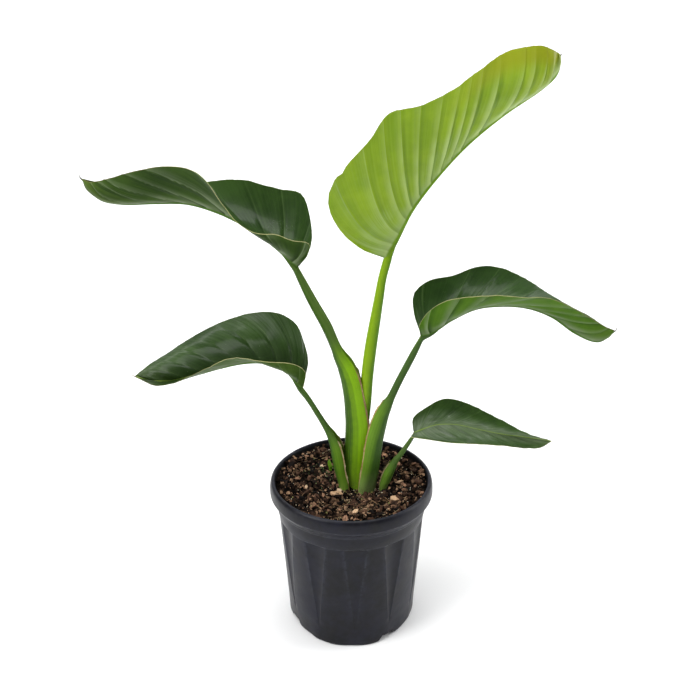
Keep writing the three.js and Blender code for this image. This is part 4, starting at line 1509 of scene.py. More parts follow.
@dataclass
class PottingMix:
    """The bed of mix with bark, crumbs, grit and fibres lying on it."""

    pot: NurseryPot
    level_height: float = 180.0
    dish: float = 6.0
    dish_radius: float = 85.0
    roughness: float = 1.5
    seed: int = 41
    wave_count: int = 9
    columns: int = 330
    top_rows: int = 84
    middle_radius: float = 1.2
    wall_gap: float = 7.4
    # The bed's colours are very dark, as painted shade between the pieces that lie on it.
    peat: Mulch = Mulch(
        "peat", 0.9, 0.05, paint(6, 4, 3), paint(34, 25, 20), paint(104, 84, 68), 0.2, 0.0008, 300.0
    )
    bark_pieces: int = 36
    tan_spots: tuple[tuple[float, float, float, float], ...] = (
        (-17.0, -20.0, 7.6, 0.3),
        (50.0, -33.0, 7.2, 0.4),
        (55.0, 3.0, 5.6, 0.3),
        (4.0, -62.0, 4.8, 0.9),
        (-52.0, -8.0, 3.4, 1.7),
        (20.0, 52.0, 4.2, 0.9),
        (-34.0, 40.0, 3.8, 2.6),
        (-13.0, -12.0, 4.8, 0.2),
    )
    random: Seeded = field(init=False)
    waves: list[tuple[float, float, float, float]] = field(init=False)

    def __post_init__(self) -> None:
        """Draws the waves of the surface."""
        self.random = r = Seeded(self.seed)
        self.waves = [
            (0.05 + 0.13 * r(), r() * FULL_TURN, r() * FULL_TURN, 0.4 + 0.6 * r())
            for _ in range(self.wave_count)
        ]

    def level(self, x: Array, y: Array) -> Array:
        """The height of the bed.

        Args:
            x: Places to the right, in millimetres.
            y: Places to the back, in millimetres.

        Returns:
            The height at each place.
        """
        bumps = 0.0
        for pace, turn, shift, size in self.waves:
            bumps = bumps + size * np.sin((x * math.cos(turn) + y * math.sin(turn)) * pace * 2 + shift)
        inward = smoothstep(0.0, 0.6, 1.0 - np.hypot(x, y) / self.dish_radius)
        return self.level_height - self.dish * inward + self.roughness * bumps / 3

    def lain(self, x: float, y: float, up: float) -> Triple:
        """A place on the bed, raised by `up`."""
        return (x, y, float(self.level(np.array(x), np.array(y))) + up)

    def bed(self) -> Piece:
        """The bed itself: clotted on top, darker in its hollows as painted shade, and filling the pot below.

        Returns:
            The bed.
        """
        angles = np.linspace(0.0, 2 * math.pi, self.columns, endpoint=False)
        rim, collar = self.pot.rim_radius, self.pot.rim_radius - 10.0
        below = (
            (68.4, self.pot.floor + 0.3),
            (72.2, 30.0),
            (collar - 5.7, 139.0),
            (collar - 5.3, 142.0),
            (collar - 0.9, 150.5),
            (rim - 7.5, 174.0),
        )
        turned = np.stack([np.cos(angles), np.sin(angles)], axis=-1)
        rings = [np.column_stack([radius * turned, np.full_like(angles, height)]) for radius, height in below]
        tints = [np.zeros(self.columns)] * len(below)
        for radius in np.linspace(rim - self.wall_gap, self.middle_radius, self.top_rows):
            x, y = radius * np.cos(angles), radius * np.sin(angles)
            clots = np.array([noise.fractal(Vector((a, b, 3.0)) * 0.21, 0.9, 2.1, 5) for a, b in zip(x, y)])
            grit = np.array([noise.noise(Vector((a, b, 9.0)) * 1.1) for a, b in zip(x, y)])
            edge = smoothstep(0.0, 2.5, rim - self.wall_gap - radius)
            height = self.level(x, y) - 0.6 + (1.7 * clots + 0.45 * grit) * (0.3 + 0.7 * edge)
            rings.append(np.stack([x, y, height], axis=-1))
            # The tint rises with the clots, so the hollows are darker: painted shade.
            tints.append(clamp(0.3 + 0.5 * clots + 0.35 * grit))
        bed = tube_sheet("soil_bed", np.array(rings))
        set_value(bed, "tint", with_ends(np.array(tints)))
        weld(bed)
        smooth(bed, 60.0)
        return bed

    @staticmethod
    def spots(kind: Litter, least: float = 0.0) -> Iterator[tuple[int, np.random.Generator, float, float]]:
        """Draws a place for each piece of a litter, first in its clump and then all over the bed.

        Args:
            kind: The litter.
            least: The share of the disc's area, at its middle, that stays empty.

        Yields:
            The piece's number, the draw that its other numbers come from, and its place.
        """
        draw, clump = np.random.default_rng(kind.seed), kind.clump
        for i in range(kind.count):
            if i < clump.count:
                yield i, draw, draw.normal(clump.x, clump.wide), draw.normal(clump.y, clump.deep)
            else:
                radius = kind.reach * math.sqrt(draw.uniform(least, 1.0))
                angle = draw.uniform(0.0, 2 * math.pi)
                yield i, draw, radius * math.cos(angle), radius * math.sin(angle)

    def bark(self) -> Piece:
        """Chips of bark: the large ones in their own places, and many small ones between them.

        Returns:
            The chips, as one piece.
        """
        shapes = [chip_shape(5 + k % 3, BARK.shape_seed + k) for k in range(BARK.shapes)]
        chips = Scatter(BARK.name)
        r = self.random
        for i in range(self.bark_pieces):
            radius, angle = 80.0 * math.sqrt(0.06 + 0.94 * r()), r() * 2 * math.pi
            size = 2.5 + 4.5 * r() ** 2
            r()
            scale = (size, size * (0.35 + 0.3 * r()), size * (0.5 + 0.4 * r()))
            turn = self.turned((r() - 0.5) * 1.4, r() * 3.0, r() * FULL_TURN)
            at = self.lain(radius * math.cos(angle), radius * math.sin(angle), 0.1 * size)
            chips.put(shapes[i % BARK.shapes], turn, scale, at, 0.25 + 0.6 * ((i * 7) % 10) / 10)
        for i, draw, x, y in self.spots(BARK, 0.01):
            size = 1.5 + 4.2 * draw.uniform() ** 2.0
            scale = (size, size * draw.uniform(0.3, 0.7), size * draw.uniform(0.35, 0.8))
            about_x = math.pi / 2 + draw.normal(0.0, 0.45)
            turn = self.turned(about_x, draw.uniform(-0.5, 0.5), draw.uniform(0.0, FULL_TURN))
            at = self.lain(x, y, 0.12 * size)
            chips.put(shapes[i % BARK.shapes], turn, scale, at, draw.uniform(0.0, 1.0) ** 1.5)
        return chips.build(BARK.round_to)

    def tan_chips(self) -> Piece:
        """The few pale chips that catch the eye.

        Returns:
            The chips, as one piece.
        """
        shapes = [chip_shape(6, TAN.shape_seed), chip_shape(5, TAN.shape_seed + 2)]
        chips = Scatter(TAN.name)
        for i, (x, y, size, angle) in enumerate(self.tan_spots):
            turn = self.turned(math.pi / 2 + 0.3 * math.sin(i * 2.1), 0.2 * math.cos(i), angle)
            scale = (size, size * 0.42, size * 0.62)
            chips.put(shapes[i % TAN.shapes], turn, scale, self.lain(x, y, TAN.raised), 0.35 + 0.08 * i)
        return chips.build(TAN.round_to)

    def crumbs(self) -> Piece:
        """Crumbs of peat and broken bark.

        Returns:
            The crumbs, as one piece.
        """
        shapes = [lump_shape(CRUMBS.shape_seed + k) for k in range(CRUMBS.shapes)]
        crumbs = Scatter(CRUMBS.name)
        for i, draw, x, y in self.spots(CRUMBS):
            size = 0.5 + 2.1 * draw.uniform() ** 2.2
            scale = size * draw.uniform(*CRUMBS.stretch, 3)
            turn = self.turned(*draw.uniform(0.0, FULL_TURN, 3))
            at = self.lain(x, y, 0.35 * size + draw.uniform(-0.4, 0.5))
            crumbs.put(shapes[i % CRUMBS.shapes], turn, scale, at, draw.uniform(0.0, 1.0) ** 1.6)
        return crumbs.build(CRUMBS.round_to)

    def grains(self, kind: Litter, unevenness: float) -> Piece:
        """Small grains, each turned any way.

        Args:
            kind: The litter.
            unevenness: How far the shape's corners stray.

        Returns:
            The grains, as one piece.
        """
        shapes = [lump_shape(kind.shape_seed + k, unevenness) for k in range(kind.shapes)]
        grains = Scatter(kind.name)
        for i, draw, x, y in self.spots(kind):
            size = draw.uniform(*kind.sizes)
            turn = self.turned(*draw.uniform(0.0, FULL_TURN, 3))
            scale = size * draw.uniform(*kind.stretch, 3)
            at = self.lain(x, y, kind.raised)
            grains.put(shapes[i % kind.shapes], turn, scale, at, draw.uniform(0.0, 1.0))
        return grains.build(kind.round_to)

    def beads(self) -> Piece:
        """Slow-release feed: small round yellow-green beads.

        Returns:
            The beads, as one piece.
        """
        clear_selection()
        bpy.ops.mesh.primitive_ico_sphere_add(subdivisions=2, radius=1.0)
        shape = Shape.taken_from(roughened(bpy.context.object, 0.04, BEADS.shape_seed))
        beads = Scatter(BEADS.name)
        for _, draw, x, y in self.spots(BEADS):
            size = draw.uniform(*BEADS.sizes)
            at = self.lain(x, y, BEADS.raised)
            beads.put(shape, Matrix.Identity(3), (size, size, size * 0.94), at, draw.uniform(0.0, 1.0))
        return beads.build(BEADS.round_to)

    def strands(self) -> Piece:
        """Root fibres and bits of straw on the bed.

        Returns:
            The fibres, as one piece.
        """
        shapes = [strand_shape(STRANDS.shape_seed + k) for k in range(STRANDS.shapes)]
        strands = Scatter(STRANDS.name)
        for i, draw, x, y in self.spots(STRANDS):
            length, thick = draw.uniform(*STRANDS.sizes), draw.uniform(0.6, 1.3) * 17.0
            turn = self.turned(draw.normal(0.0, 0.12), draw.normal(0.0, 0.12), draw.uniform(0.0, FULL_TURN))
            at = self.lain(x, y, STRANDS.raised)
            strands.put(shapes[i % STRANDS.shapes], turn, (length, thick, thick), at, draw.uniform(0.0, 1.0))
        return strands.build(STRANDS.round_to)

    @staticmethod
    def turned(about_x: float, about_y: float, about_z: float) -> Matrix:
        """A turn about X, then Y, then Z, in radians."""
        return Euler((about_x, about_y, about_z), "XYZ").to_matrix()

    def build(self) -> None:
        """Builds and dresses the bed and all that lies on it."""
        bed = self.bed()
        dress(bed, "potting_mix", [self.peat.build()])
        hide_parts("soil")
        for piece, kind in (
            (self.bark(), BARK),
            (self.tan_chips(), TAN),
            (self.crumbs(), CRUMBS),
            (self.grains(GRIT, 0.2), GRIT),
            (self.beads(), BEADS),
            (self.grains(MOSS, 0.3), MOSS),
            (self.strands(), STRANDS),
        ):
            dress(piece, "potting_mix", [kind.finish.build()])


# ---- Stalks -------------------------------------------------------------------------------------

# Every stalk stands straight in the mix between these heights, in millimetres.
STALK_FOOT = 140.0
STALK_STRAIGHT = 176.0


@dataclass(frozen=True)
class Station:
    """A stalk's oval section: its middle, half sizes, how far its outer side wraps and how open it is."""

    at: Triple
    deep: float
    wide: float
    wrap: float
    open: float


@dataclass(frozen=True)
class StalkForm:
    """A stalk from its foot in the mix to its blade.

    `back_foot` and `back_top` are the direction of its rounded outer side. `top` is its section where
    it meets the blade, and `drop` how far its middle lies below the rib there.
    """

    back_foot: Triple
    back_top: Triple
    stations: tuple[Station, ...]
    top: tuple[float, float, float, float]
    drop: float

    def from_foot(self) -> tuple[Station, ...]:
        """The stations with one more below the first, as the stalk is straight inside the mix."""
        x, y, _ = self.stations[0].at
        return (replace(self.stations[0], at=(x, y, STALK_FOOT)), *self.stations)


STALKS = {
    "crown": StalkForm(
        back_foot=(1, -0.3, 0),
        back_top=(1, -0.1, 0),
        stations=(
            Station((6.5, 0, STALK_STRAIGHT), 6, 5.5, 165, 0.1),
            Station((9.5, 0.4, 215), 6.4, 5.8, 165, 0.1),
            Station((13.5, 1.5, 262), 6.9, 6, 165, 0.12),
            Station((15.5, 1.1, 287), 6.9, 6, 162, 0.12),
            Station((17.5, 1.1, 318), 6.8, 6, 160, 0.15),
            Station((20.5, 1, 349), 6.8, 6, 158, 0.18),
            Station((24.5, 1, 379), 6.3, 5.8, 155, 0.2),
            Station((29, 0.5, 411), 5.5, 5.4, 150, 0.25),
            Station((32.5, 0, 436), 5, 5.2, 145, 0.3),
        ),
        top=(5.4, 5.4, 130, 0.3),
        drop=1.8,
    ),
    "upper_left": StalkForm(
        back_foot=(-1, 0, 0),
        back_top=(-1, 0, 0),
        stations=(
            Station((6.3, 0, STALK_STRAIGHT), 16.8, 9, 125, 1),
            Station((8.2, 0.4, 205), 17.2, 9.4, 125, 1),
            Station((9.7, 1.1, 250), 16.7, 10, 125, 1),
            Station((8, 1.9, 272), 15.6, 10, 125, 1),
            Station((5.3, 2.5, 292), 14.3, 9.6, 125, 1),
            Station((1.2, 2.6, 312), 13.2, 9, 128, 0.95),
            Station((-4.7, 3.2, 328), 11.3, 8, 134, 0.8),
            Station((-12.1, 3.2, 341), 8.2, 6.9, 142, 0.45),
            Station((-17.5, 3.6, 353), 6.1, 6.2, 145, 0.25),
            Station((-27.5, 3.8, 378), 6, 6, 150, 0.2),
            Station((-43, 4, 409), 5.3, 5.4, 146, 0.22),
        ),
        top=(4.2, 5.2, 128, 0.3),
        drop=2,
    ),
    "lower_left": StalkForm(
        back_foot=(-1, 0.1, 0),
        back_top=(-1, 0, 0),
        stations=(
            Station((-6.2, 0, STALK_STRAIGHT), 8.8, 13.6, 124, 1),
            Station((-10.7, -0.6, 196), 8.6, 12.6, 126, 1),
            Station((-13.8, -1.6, 214), 8.6, 11, 130, 1),
            Station((-17.2, -3.3, 230), 7.4, 8.6, 136, 0.9),
            Station((-22.5, -5.7, 245), 5.6, 6, 142, 0.6),
            Station((-29, -6.5, 257), 3.6, 4.4, 146, 0.3),
            Station((-37.5, -8.5, 274), 3.1, 3.6, 150, 0.2),
            Station((-47, -9.4, 292), 3.1, 3.5, 148, 0.2),
        ),
        top=(3.2, 4.4, 128, 0.3),
        drop=1.6,
    ),
    "upper_right": StalkForm(
        back_foot=(0.85, -0.53, 0),
        back_top=(1, -0.1, 0),
        stations=(
            Station((17.4, -5, STALK_STRAIGHT), 10, 14, 110, 1),
            Station((20, -5.6, 195), 10.4, 13.6, 112, 1),
            Station((22.5, -6.6, 217), 10.6, 12.6, 116, 1),
            Station((25.2, -6.3, 238), 10.6, 11.2, 122, 1),
            Station((28.6, -5.9, 255), 10.2, 10, 128, 1),
            Station((33, -6, 271), 9, 8.8, 134, 0.95),
            Station((38.6, -6.1, 284), 7, 7, 140, 0.7),
            Station((44, -5.7, 295), 4.9, 5.4, 144, 0.4),
            Station((52, -5.9, 314), 4.3, 4.8, 148, 0.2),
            Station((62, -5.8, 336), 4.1, 4.5, 148, 0.2),
        ),
        top=(3.8, 4.8, 130, 0.3),
        drop=1.8,
    ),
    "lower_right": StalkForm(
        back_foot=(1, -0.2, 0),
        back_top=(1, -0.2, 0),
        stations=(
            Station((36.4, -3, STALK_STRAIGHT), 5.6, 8, 128, 1),
            Station((38.4, -3.2, 184), 6.6, 8, 130, 1),
            Station((41.2, -3.4, 193), 6.9, 7.4, 132, 0.9),
            Station((45.4, -3.5, 202), 5.9, 6.2, 136, 0.7),
            Station((50, -3.6, 210), 4.1, 4.6, 142, 0.4),
            Station((55.5, -3.8, 218), 3.1, 3.6, 146, 0.2),
            Station((61.5, -3.9, 228), 2.9, 3.3, 146, 0.2),
        ),
        top=(2.4, 1.9, 132, 0.25),
        drop=1.3,
    ),
}


@dataclass(frozen=True)
class BladeForm:
    """A folded blade: its midrib and two margins, with creases along its veins.

    `turn` is 1 where the tip points to the right and -1 where it points to the left. Veins leave the
    rib and run forward to the margin by `sweep`, bent backward by `bow`. `bulge` rounds each half
    outward. A crease stands out at each of `creases`, by `fold`, and runs further forward than the
    veins by `lean`. `wave` is how wavy the margins are, `keel` how far the rib stands out below and
    `base` the half width at the stalk. `nicks` are small tears: side, place, depth, width.
    """

    turn: int
    rib: tuple[Triple, ...]
    near: tuple[Triple, ...]
    far: tuple[Triple, ...]
    sweep_near: tuple[float, ...]
    sweep_far: tuple[float, ...]
    bulge_near: tuple[float, ...]
    bulge_far: tuple[float, ...]
    creases: tuple[float, ...]
    fold: float
    keel: float
    base: float
    bow: tuple[float, ...] = (0.12, 0.1, 0.06, 0.02, 0.0, 0.0, 0.0, 0.0, 0.0)
    wave: float = 0.4
    lean_near: float = 0.0
    lean_far: float = 0.0
    nicks: tuple[tuple[str, float, float, float], ...] = ()


BLADES = {
    "crown": BladeForm(
        turn=1,
        rib=(
            (36, 0, 460), (46, -1, 482), (62, -4, 517), (86, -9, 553), (115, -16, 589), (149, -25, 622),
            (182, -35, 649), (196, -43, 667), (198, -46, 686),
        ),
        near=(
            (11, -16, 475), (-10, -24, 497), (-23, -30, 525), (-21, -33, 551), (-5, -34, 573),
            (18, -34, 599), (36, -34, 625), (66, -36, 634), (97, -40, 650), (118, -44, 668),
            (145, -50, 689), (172, -56, 697), (188, -54, 693), (198, -46, 686),
        ),
        far=(
            (18, 22, 466), (0, 34, 485), (-8, 42, 509), (-5, 47, 532), (9, 50, 553), (30, 50, 575),
            (51, 48, 591), (75, 44, 607), (103, 36, 625), (128, 26, 641), (153, 12, 661),
            (176, -8, 674), (190, -30, 683), (198, -46, 686),
        ),
        sweep_near=(0.36, 0.36, 0.345, 0.335, 0.295, 0.245, 0.18, 0.1, 0.0),
        sweep_far=(0.36, 0.36, 0.345, 0.335, 0.295, 0.245, 0.18, 0.1, 0.0),
        bow=(0.13, 0.13, 0.06, 0.03, -0.02, -0.08, -0.08, -0.04, 0.0),
        bulge_near=(4, 9, 6, 9, 13, 14, 8),
        bulge_far=(4, 8, 8, 8, 8, 6, 4),
        creases=(
            0.03, 0.06, 0.105, 0.165, 0.215, 0.265, 0.33, 0.385, 0.44, 0.49, 0.575, 0.68, 0.74, 0.8, 0.88,
        ),
        fold=1.7,
        keel=4.4,
        base=5,
        wave=0.9,
        nicks=(
            ("near", 0.014, 1.5, 0.0015),
            ("near", 0.054, 1.6, 0.003),
            ("near", 0.07, 2.6, 0.004),
            ("far", 0.3, 1.4, 0.005),
        ),
    ),
    "upper_left": BladeForm(
        turn=-1,
        rib=(
            (-58, 4, 447), (-74, 7, 464), (-93, 12, 478), (-117, 16, 493), (-145, 20, 505),
            (-175, 24, 512), (-208, 26, 511.5), (-243, 27, 510), (-268, 27, 516), (-285, 28, 538),
        ),
        near=(
            (-46, -10, 467), (-45, -20, 484), (-62, -30, 491), (-78, -36, 500), (-98, -38, 502),
            (-116, -36, 513), (-132, -30, 531), (-148, -20, 552), (-166, -12, 562), (-195, -6, 562),
            (-228, 0, 554), (-256, 10, 543), (-274, 20, 537), (-285, 28, 538),
        ),
        far=(
            (-43, 20, 467), (-45, 34, 495), (-54, 42, 516), (-75, 48, 519), (-94, 52, 522),
            (-113, 54, 527), (-135, 56, 527), (-158, 56, 525), (-184, 54, 527), (-216, 50, 531),
            (-242, 44, 530), (-264, 37, 530), (-285, 28, 538),
        ),
        sweep_near=(0.25, 0.22, 0.2, 0.22, 0.26, 0.24, 0.18, 0.1, 0.0),
        sweep_far=(0.28, 0.28, 0.29, 0.29, 0.27, 0.24, 0.18, 0.1, 0.0),
        bulge_near=(2, 1, 1, 4, 8, 10, 8),
        bulge_far=(5, 9, 9, 8, 7, 6, 4),
        creases=(0.03, 0.09, 0.17, 0.26, 0.35, 0.43, 0.53, 0.61, 0.71, 0.8, 0.9),
        fold=1.9,
        keel=3,
        base=4.8,
        lean_near=0.14,
        lean_far=0.05,
    ),
    "lower_left": BladeForm(
        turn=-1,
        rib=(
            (-56, -10, 309), (-71, -13, 331), (-91, -17, 343), (-115, -22, 346), (-141, -26, 342),
            (-169, -30, 335), (-194, -34, 330), (-215, -37, 332), (-234, -38, 337),
        ),
        near=(
            (-50, -22, 332), (-56, -32, 346), (-71, -44, 357), (-93, -54, 363), (-111, -60, 370),
            (-128, -62, 371), (-148, -62, 362), (-169, -60, 350), (-190, -55, 338), (-210, -48, 331),
            (-222, -42, 333), (-234, -38, 337),
        ),
        far=(
            (-48, 4, 334), (-53, 12, 355), (-62, 18, 374), (-83, 22, 385), (-109, 24, 384),
            (-133, 24, 377), (-159, 20, 367), (-182, 12, 356), (-203, 0, 346), (-221, -16, 340),
            (-234, -38, 337),
        ),
        sweep_near=(0.24, 0.21, 0.19, 0.17, 0.15, 0.12, 0.1, 0.06, 0.0),
        sweep_far=(0.26, 0.27, 0.28, 0.28, 0.26, 0.23, 0.17, 0.1, 0.0),
        bulge_near=(2, 2, 1, 0.5, 0, 0, 0),
        bulge_far=(-2, -9, -11, -11, -9, -6, -3),
        creases=(0.04, 0.11, 0.2, 0.3, 0.41, 0.51, 0.62, 0.73, 0.86),
        fold=1.2,
        keel=2.4,
        base=4.2,
        lean_near=0.04,
        lean_far=0.04,
    ),
    "upper_right": BladeForm(
        turn=1,
        rib=(
            (76, -6, 370), (88, -7, 376), (108, -9, 392), (134, -11, 406), (164, -13, 410),
            (191, -14, 407), (216, -16, 397), (241, -18, 379), (266, -18, 369), (284, -18, 382),
        ),
        near=(
            (73, -17, 389), (83, -28, 411), (101, -38, 427), (125, -44, 434), (151, -46, 436),
            (177, -46, 434), (201, -44, 433), (224, -40, 423), (247, -34, 408), (267, -27, 393),
            (284, -18, 382),
        ),
        far=(
            (68, 6, 391), (68, 16, 411), (85, 26, 422), (110, 32, 425), (138, 36, 434), (163, 38, 432),
            (188, 38, 421), (213, 34, 406), (236, 26, 394), (258, 12, 387), (273, -4, 382),
            (284, -18, 382),
        ),
        sweep_near=(0.24, 0.2, 0.18, 0.22, 0.25, 0.23, 0.17, 0.1, 0.0),
        sweep_far=(0.28, 0.29, 0.29, 0.25, 0.2, 0.15, 0.11, 0.06, 0.0),
        bow=(0.12, 0.1, 0.05, 0.02, 0.0, 0.0, 0.0, 0.0, 0.0),
        bulge_near=(3, 3, 1, 1, 3, 8, 7),
        bulge_far=(3, 4, 3, 1, 0, -1, -1),
        creases=(0.04, 0.12, 0.2, 0.29, 0.4, 0.49, 0.6, 0.72, 0.85),
        fold=1.8,
        keel=2.4,
        base=4.2,
        lean_near=0.12,
        lean_far=0.04,
    ),
    "lower_right": BladeForm(
        turn=1,
        rib=(
            (71, -4, 247), (81, -5, 253), (96, -6, 259), (117, -7, 260), (140, -8, 255), (168, -9, 249),
            (198, -10, 245), (227, -10, 240),
        ),
        near=(
            (67, -15, 248), (85, -24, 250), (110, -31, 250), (138, -34, 250), (165, -32, 247),
            (195, -26, 240), (213, -18, 236), (227, -10, 240),
        ),
        far=(
            (70, 6, 261), (85, 14, 270), (106, 20, 278), (130, 22, 272), (153, 20, 261), (176, 14, 251),
            (200, 4, 242), (227, -10, 240),
        ),
        sweep_near=(0.3, 0.31, 0.31, 0.3, 0.27, 0.23, 0.17, 0.1, 0.0),
        sweep_far=(0.28, 0.28, 0.27, 0.24, 0.2, 0.16, 0.12, 0.07, 0.0),
        bow=(0.1, 0.08, 0.05, 0.02, 0.0, 0.0, 0.0, 0.0, 0.0),
        bulge_near=(1, 2, 3, 3, 3, 2, 1),
        bulge_far=(2, 4, 5, 4, 3, 2, 1),
        creases=(0.05, 0.14, 0.25, 0.36, 0.48, 0.59, 0.7, 0.83),
        fold=0.9,
        keel=1.8,
        base=3.4,
        lean_near=0.06,
        lean_far=0.06,
    ),
}


@dataclass
class Stalk:
    """A leaf's stalk, hollowed into a sheath at its foot and running on under its blade's midrib."""

    name: str
    form: StalkForm
    leaf: BladeForm
    outer_steps: int = 44
    inner_steps: int = 26
    rows_each: int = 14
    sheath: float = 2.0
    gap: float = 0.3
    run_on: tuple[float, ...] = (0.012, 0.024, 0.036, 0.05, 0.064, 0.08)
    run_end: float = 0.09
    dry_width: float = 0.05

    def frames(self) -> tuple[Array, Array, Array, Array]:
        """Middles, directions, outer directions and section values along the stalk.

        Returns:
            All four, with one row for each ring.
        """
        form, rib, stations = self.form, Route(self.leaf.rib), self.form.from_foot()
        joint, onward = np.array(self.leaf.rib[0], dtype=float), rib.heading(np.zeros(1))[0]
        outer = self.square(np.array(form.back_top, dtype=float), onward)
        end = joint - onward * self.gap + outer * form.drop
        middles = Route([s.at for s in stations] + [tuple(end)])
        values = Route([(s.deep, s.wide, s.wrap, s.open) for s in stations] + [form.top])
        count = len(stations) + 1
        t = np.linspace(0.0, 1.0, (count - 1) * self.rows_each + 1)
        place = t * (count - 1)
        along = middles.slope(t)
        up = (1.0 - smoothstep(1.0, 1.7, place))[:, None]
        along = unit(along * (1 - up) + np.array([0.0, 0.0, 1.0]) * up)
        last = smoothstep(count - 1.8, count - 1.0, place)[:, None]
        along = unit(along * (1 - last) + onward * last)
        share = clamp((place - 1) / (count - 2))[:, None]
        back = np.array(form.back_foot) * (1 - share) + np.array(form.back_top) * share
        run = np.array(self.run_on)
        thin = 1.0 - run / self.run_end
        along_on = rib.heading(run)
        back_on = np.repeat(np.array([form.back_top], dtype=float), len(run), axis=0)
        drop_on = form.drop * (0.75 + 0.25 * thin)[:, None]
        centre_on = rib.at(run) + self.square(back_on, along_on) * drop_on
        deep, wide, wrap, _ = form.top
        shrunk = (deep * (0.3 + 0.62 * thin), wide * (0.26 + 0.6 * thin), wrap - 34 * (1 - thin), 0.0 * thin)
        section_on = np.stack(shrunk, axis=-1)
        below = (middles.place(t), along, back, values.place(t))
        beyond = (centre_on, along_on, back_on, section_on)
        return tuple(np.concatenate(pair) for pair in zip(below, beyond))

    @staticmethod
    def square(vector: Array, along: Array) -> Array:
        """The part of a vector that is square to a direction, at length 1."""
        return unit(vector - along * np.sum(vector * along, axis=-1, keepdims=True))

    def inner_shares(self) -> Array:
        """Places across the inner side, from its first edge to its second, without the edges."""
        return (np.arange(1, self.inner_steps) / self.inner_steps)[None, :]

    def rings(self) -> tuple[Array, Array]:
        """Sections along the stalk.

        Returns:
            Rings of points, and the angle of each point from the middle of the outer side.
        """
        centre, along, back, section = self.frames()
        rear = self.square(back, along)
        side = unit(np.cross(along, rear))
        deep, wide, wrap, hollow = (section[:, k, None] for k in range(4))
        wrap, hollow = np.radians(wrap), clamp(hollow)
        turn = np.linspace(-1.0, 1.0, self.outer_steps + 1)[None, :] * wrap
        outer = np.stack([deep * np.cos(turn), wide * np.sin(turn)], axis=-1)
        t = self.inner_shares()
        angle = wrap * (1 - 2 * t)
        thick = np.minimum(self.sheath, 0.45 * np.minimum(deep, wide))
        inner = np.stack([(deep - thick) * np.cos(angle), (wide - thick) * np.sin(angle)], axis=-1)
        chord = outer[:, -1:, :] * (1 - t[..., None]) + outer[:, :1, :] * t[..., None]
        share = hollow * smoothstep(0.0, 0.16, t) * smoothstep(0.0, 0.16, 1 - t)
        inner = chord * (1 - share[..., None]) + inner * share[..., None]
        flat = np.concatenate([outer, inner], axis=1)
        spread = flat[..., :1] * rear[:, None, :] + flat[..., 1:] * side[:, None, :]
        around = np.concatenate([turn, angle + 2 * math.pi], axis=1)
        return centre[:, None, :] + spread, around

    def build(self) -> Piece:
        """Builds the stalk.

        Returns:
            The stalk.
        """
        rings, around = self.rings()
        hollow = self.frames()[3][:, 3:]
        t = self.inner_shares()[0]
        outer_place = np.linspace(-1.0, 1.0, self.outer_steps + 1)
        to_edge = np.concatenate([1 - np.abs(outer_place), np.minimum(t, 1 - t) * 1.4])[None, :]
        inner = np.arange(rings.shape[1])[None, :] > self.outer_steps
        height = rings[..., 2].mean(axis=1, keepdims=True)
        stalk = tube_sheet(f"{self.name}_stalk", rings)
        set_on_rings(
            stalk,
            around.shape,
            around=around,
            up=clamp((height - STALK_STRAIGHT) / (height.max() - height.min())) + 0.1,
            inner=inner * clamp(hollow),
            dry=np.exp(-((to_edge / self.dry_width) ** 2)) * smoothstep(0.5, 0.95, hollow),
        )
        weld(stalk)
        smooth(stalk, 60.0)
        return stalk


@dataclass
class SheathEdge:
    """A papery strip along one edge of a sheath, ragged and a little curled.

    It runs between the heights `low` and `high`. `inset` is the number of columns of the stalk over
    which the edge's direction is taken.
    """

    stalk: Stalk
    right_side: bool
    low: float
    high: float
    width: float = 1.8
    seed: int = 1
    columns: int = 6
    inset: int = 3
    finer: int = 4
    least_open: float = 0.15
    tuck: float = 0.25
    thickness: float = 0.28
    lift: float = 0.12

    def build(self) -> Piece:
        """Builds the strip.

        Returns:
            The strip.
        """
        rings, _ = self.stalk.rings()
        hollow = self.stalk.frames()[3][:, 3]
        height = rings[..., 2].mean(axis=1)
        rows = np.flatnonzero((height > self.low) & (height < self.high) & (hollow > self.least_open))
        edge, word = (self.stalk.outer_steps, "right") if self.right_side else (0, "left")
        inward = abs(edge - self.inset)
        fine = np.linspace(rows[0], rows[-1], len(rows) * self.finer)
        line = self.along(rings[:, edge], fine)
        out = unit(line - self.along(rings[:, inward], fine))
        away = unit(line - self.along(rings.mean(axis=1), fine))
        s = np.linspace(0.0, 1.0, len(fine))
        ends = smoothstep(0.0, 0.08, s) * smoothstep(0.0, 0.05, 1 - s)
        ragged = 0.7 + 0.35 * ripple(s * 14.0, self.seed) + 0.12 * ripple(s * 90.0, self.seed + 2)
        width = (self.width * ragged * ends)[:, None, None]
        t = np.linspace(-self.tuck, 1.0, self.columns + 1)[None, :, None]
        curl = 0.5 * t**2 * (1.0 + 0.8 * ripple(s * 9.0, self.seed + 5))[:, None, None] * width
        points = line[:, None, :] + out[:, None, :] * t * width + away[:, None, :] * (curl + self.lift)
        strip = add_sheet(f"{self.stalk.name}_sheath_edge_{word}", self.columns, len(fine) - 1)
        set_points(strip, points)
        set_value(strip, "around", np.repeat(t[..., 0], len(fine), axis=0))
        set_value(strip, "up", np.repeat(s[:, None], self.columns + 1, axis=1) * 3.0)
        shell = strip.modifiers.new("thickness", "SOLIDIFY")
        shell.thickness = self.thickness * MM
        shell.offset = 0.0
        apply_modifier(strip, shell)
        weld(strip, 1e-6)
        smooth(strip, 50.0)
        return strip

    @staticmethod
    def along(rows: Array, places: Array) -> Array:
        """Reads rows of points between their numbers."""
        index = np.arange(len(rows))
        return np.stack([np.interp(places, index, rows[:, k]) for k in range(3)], axis=-1)


# ---- Blades -------------------------------------------------------------------------------------


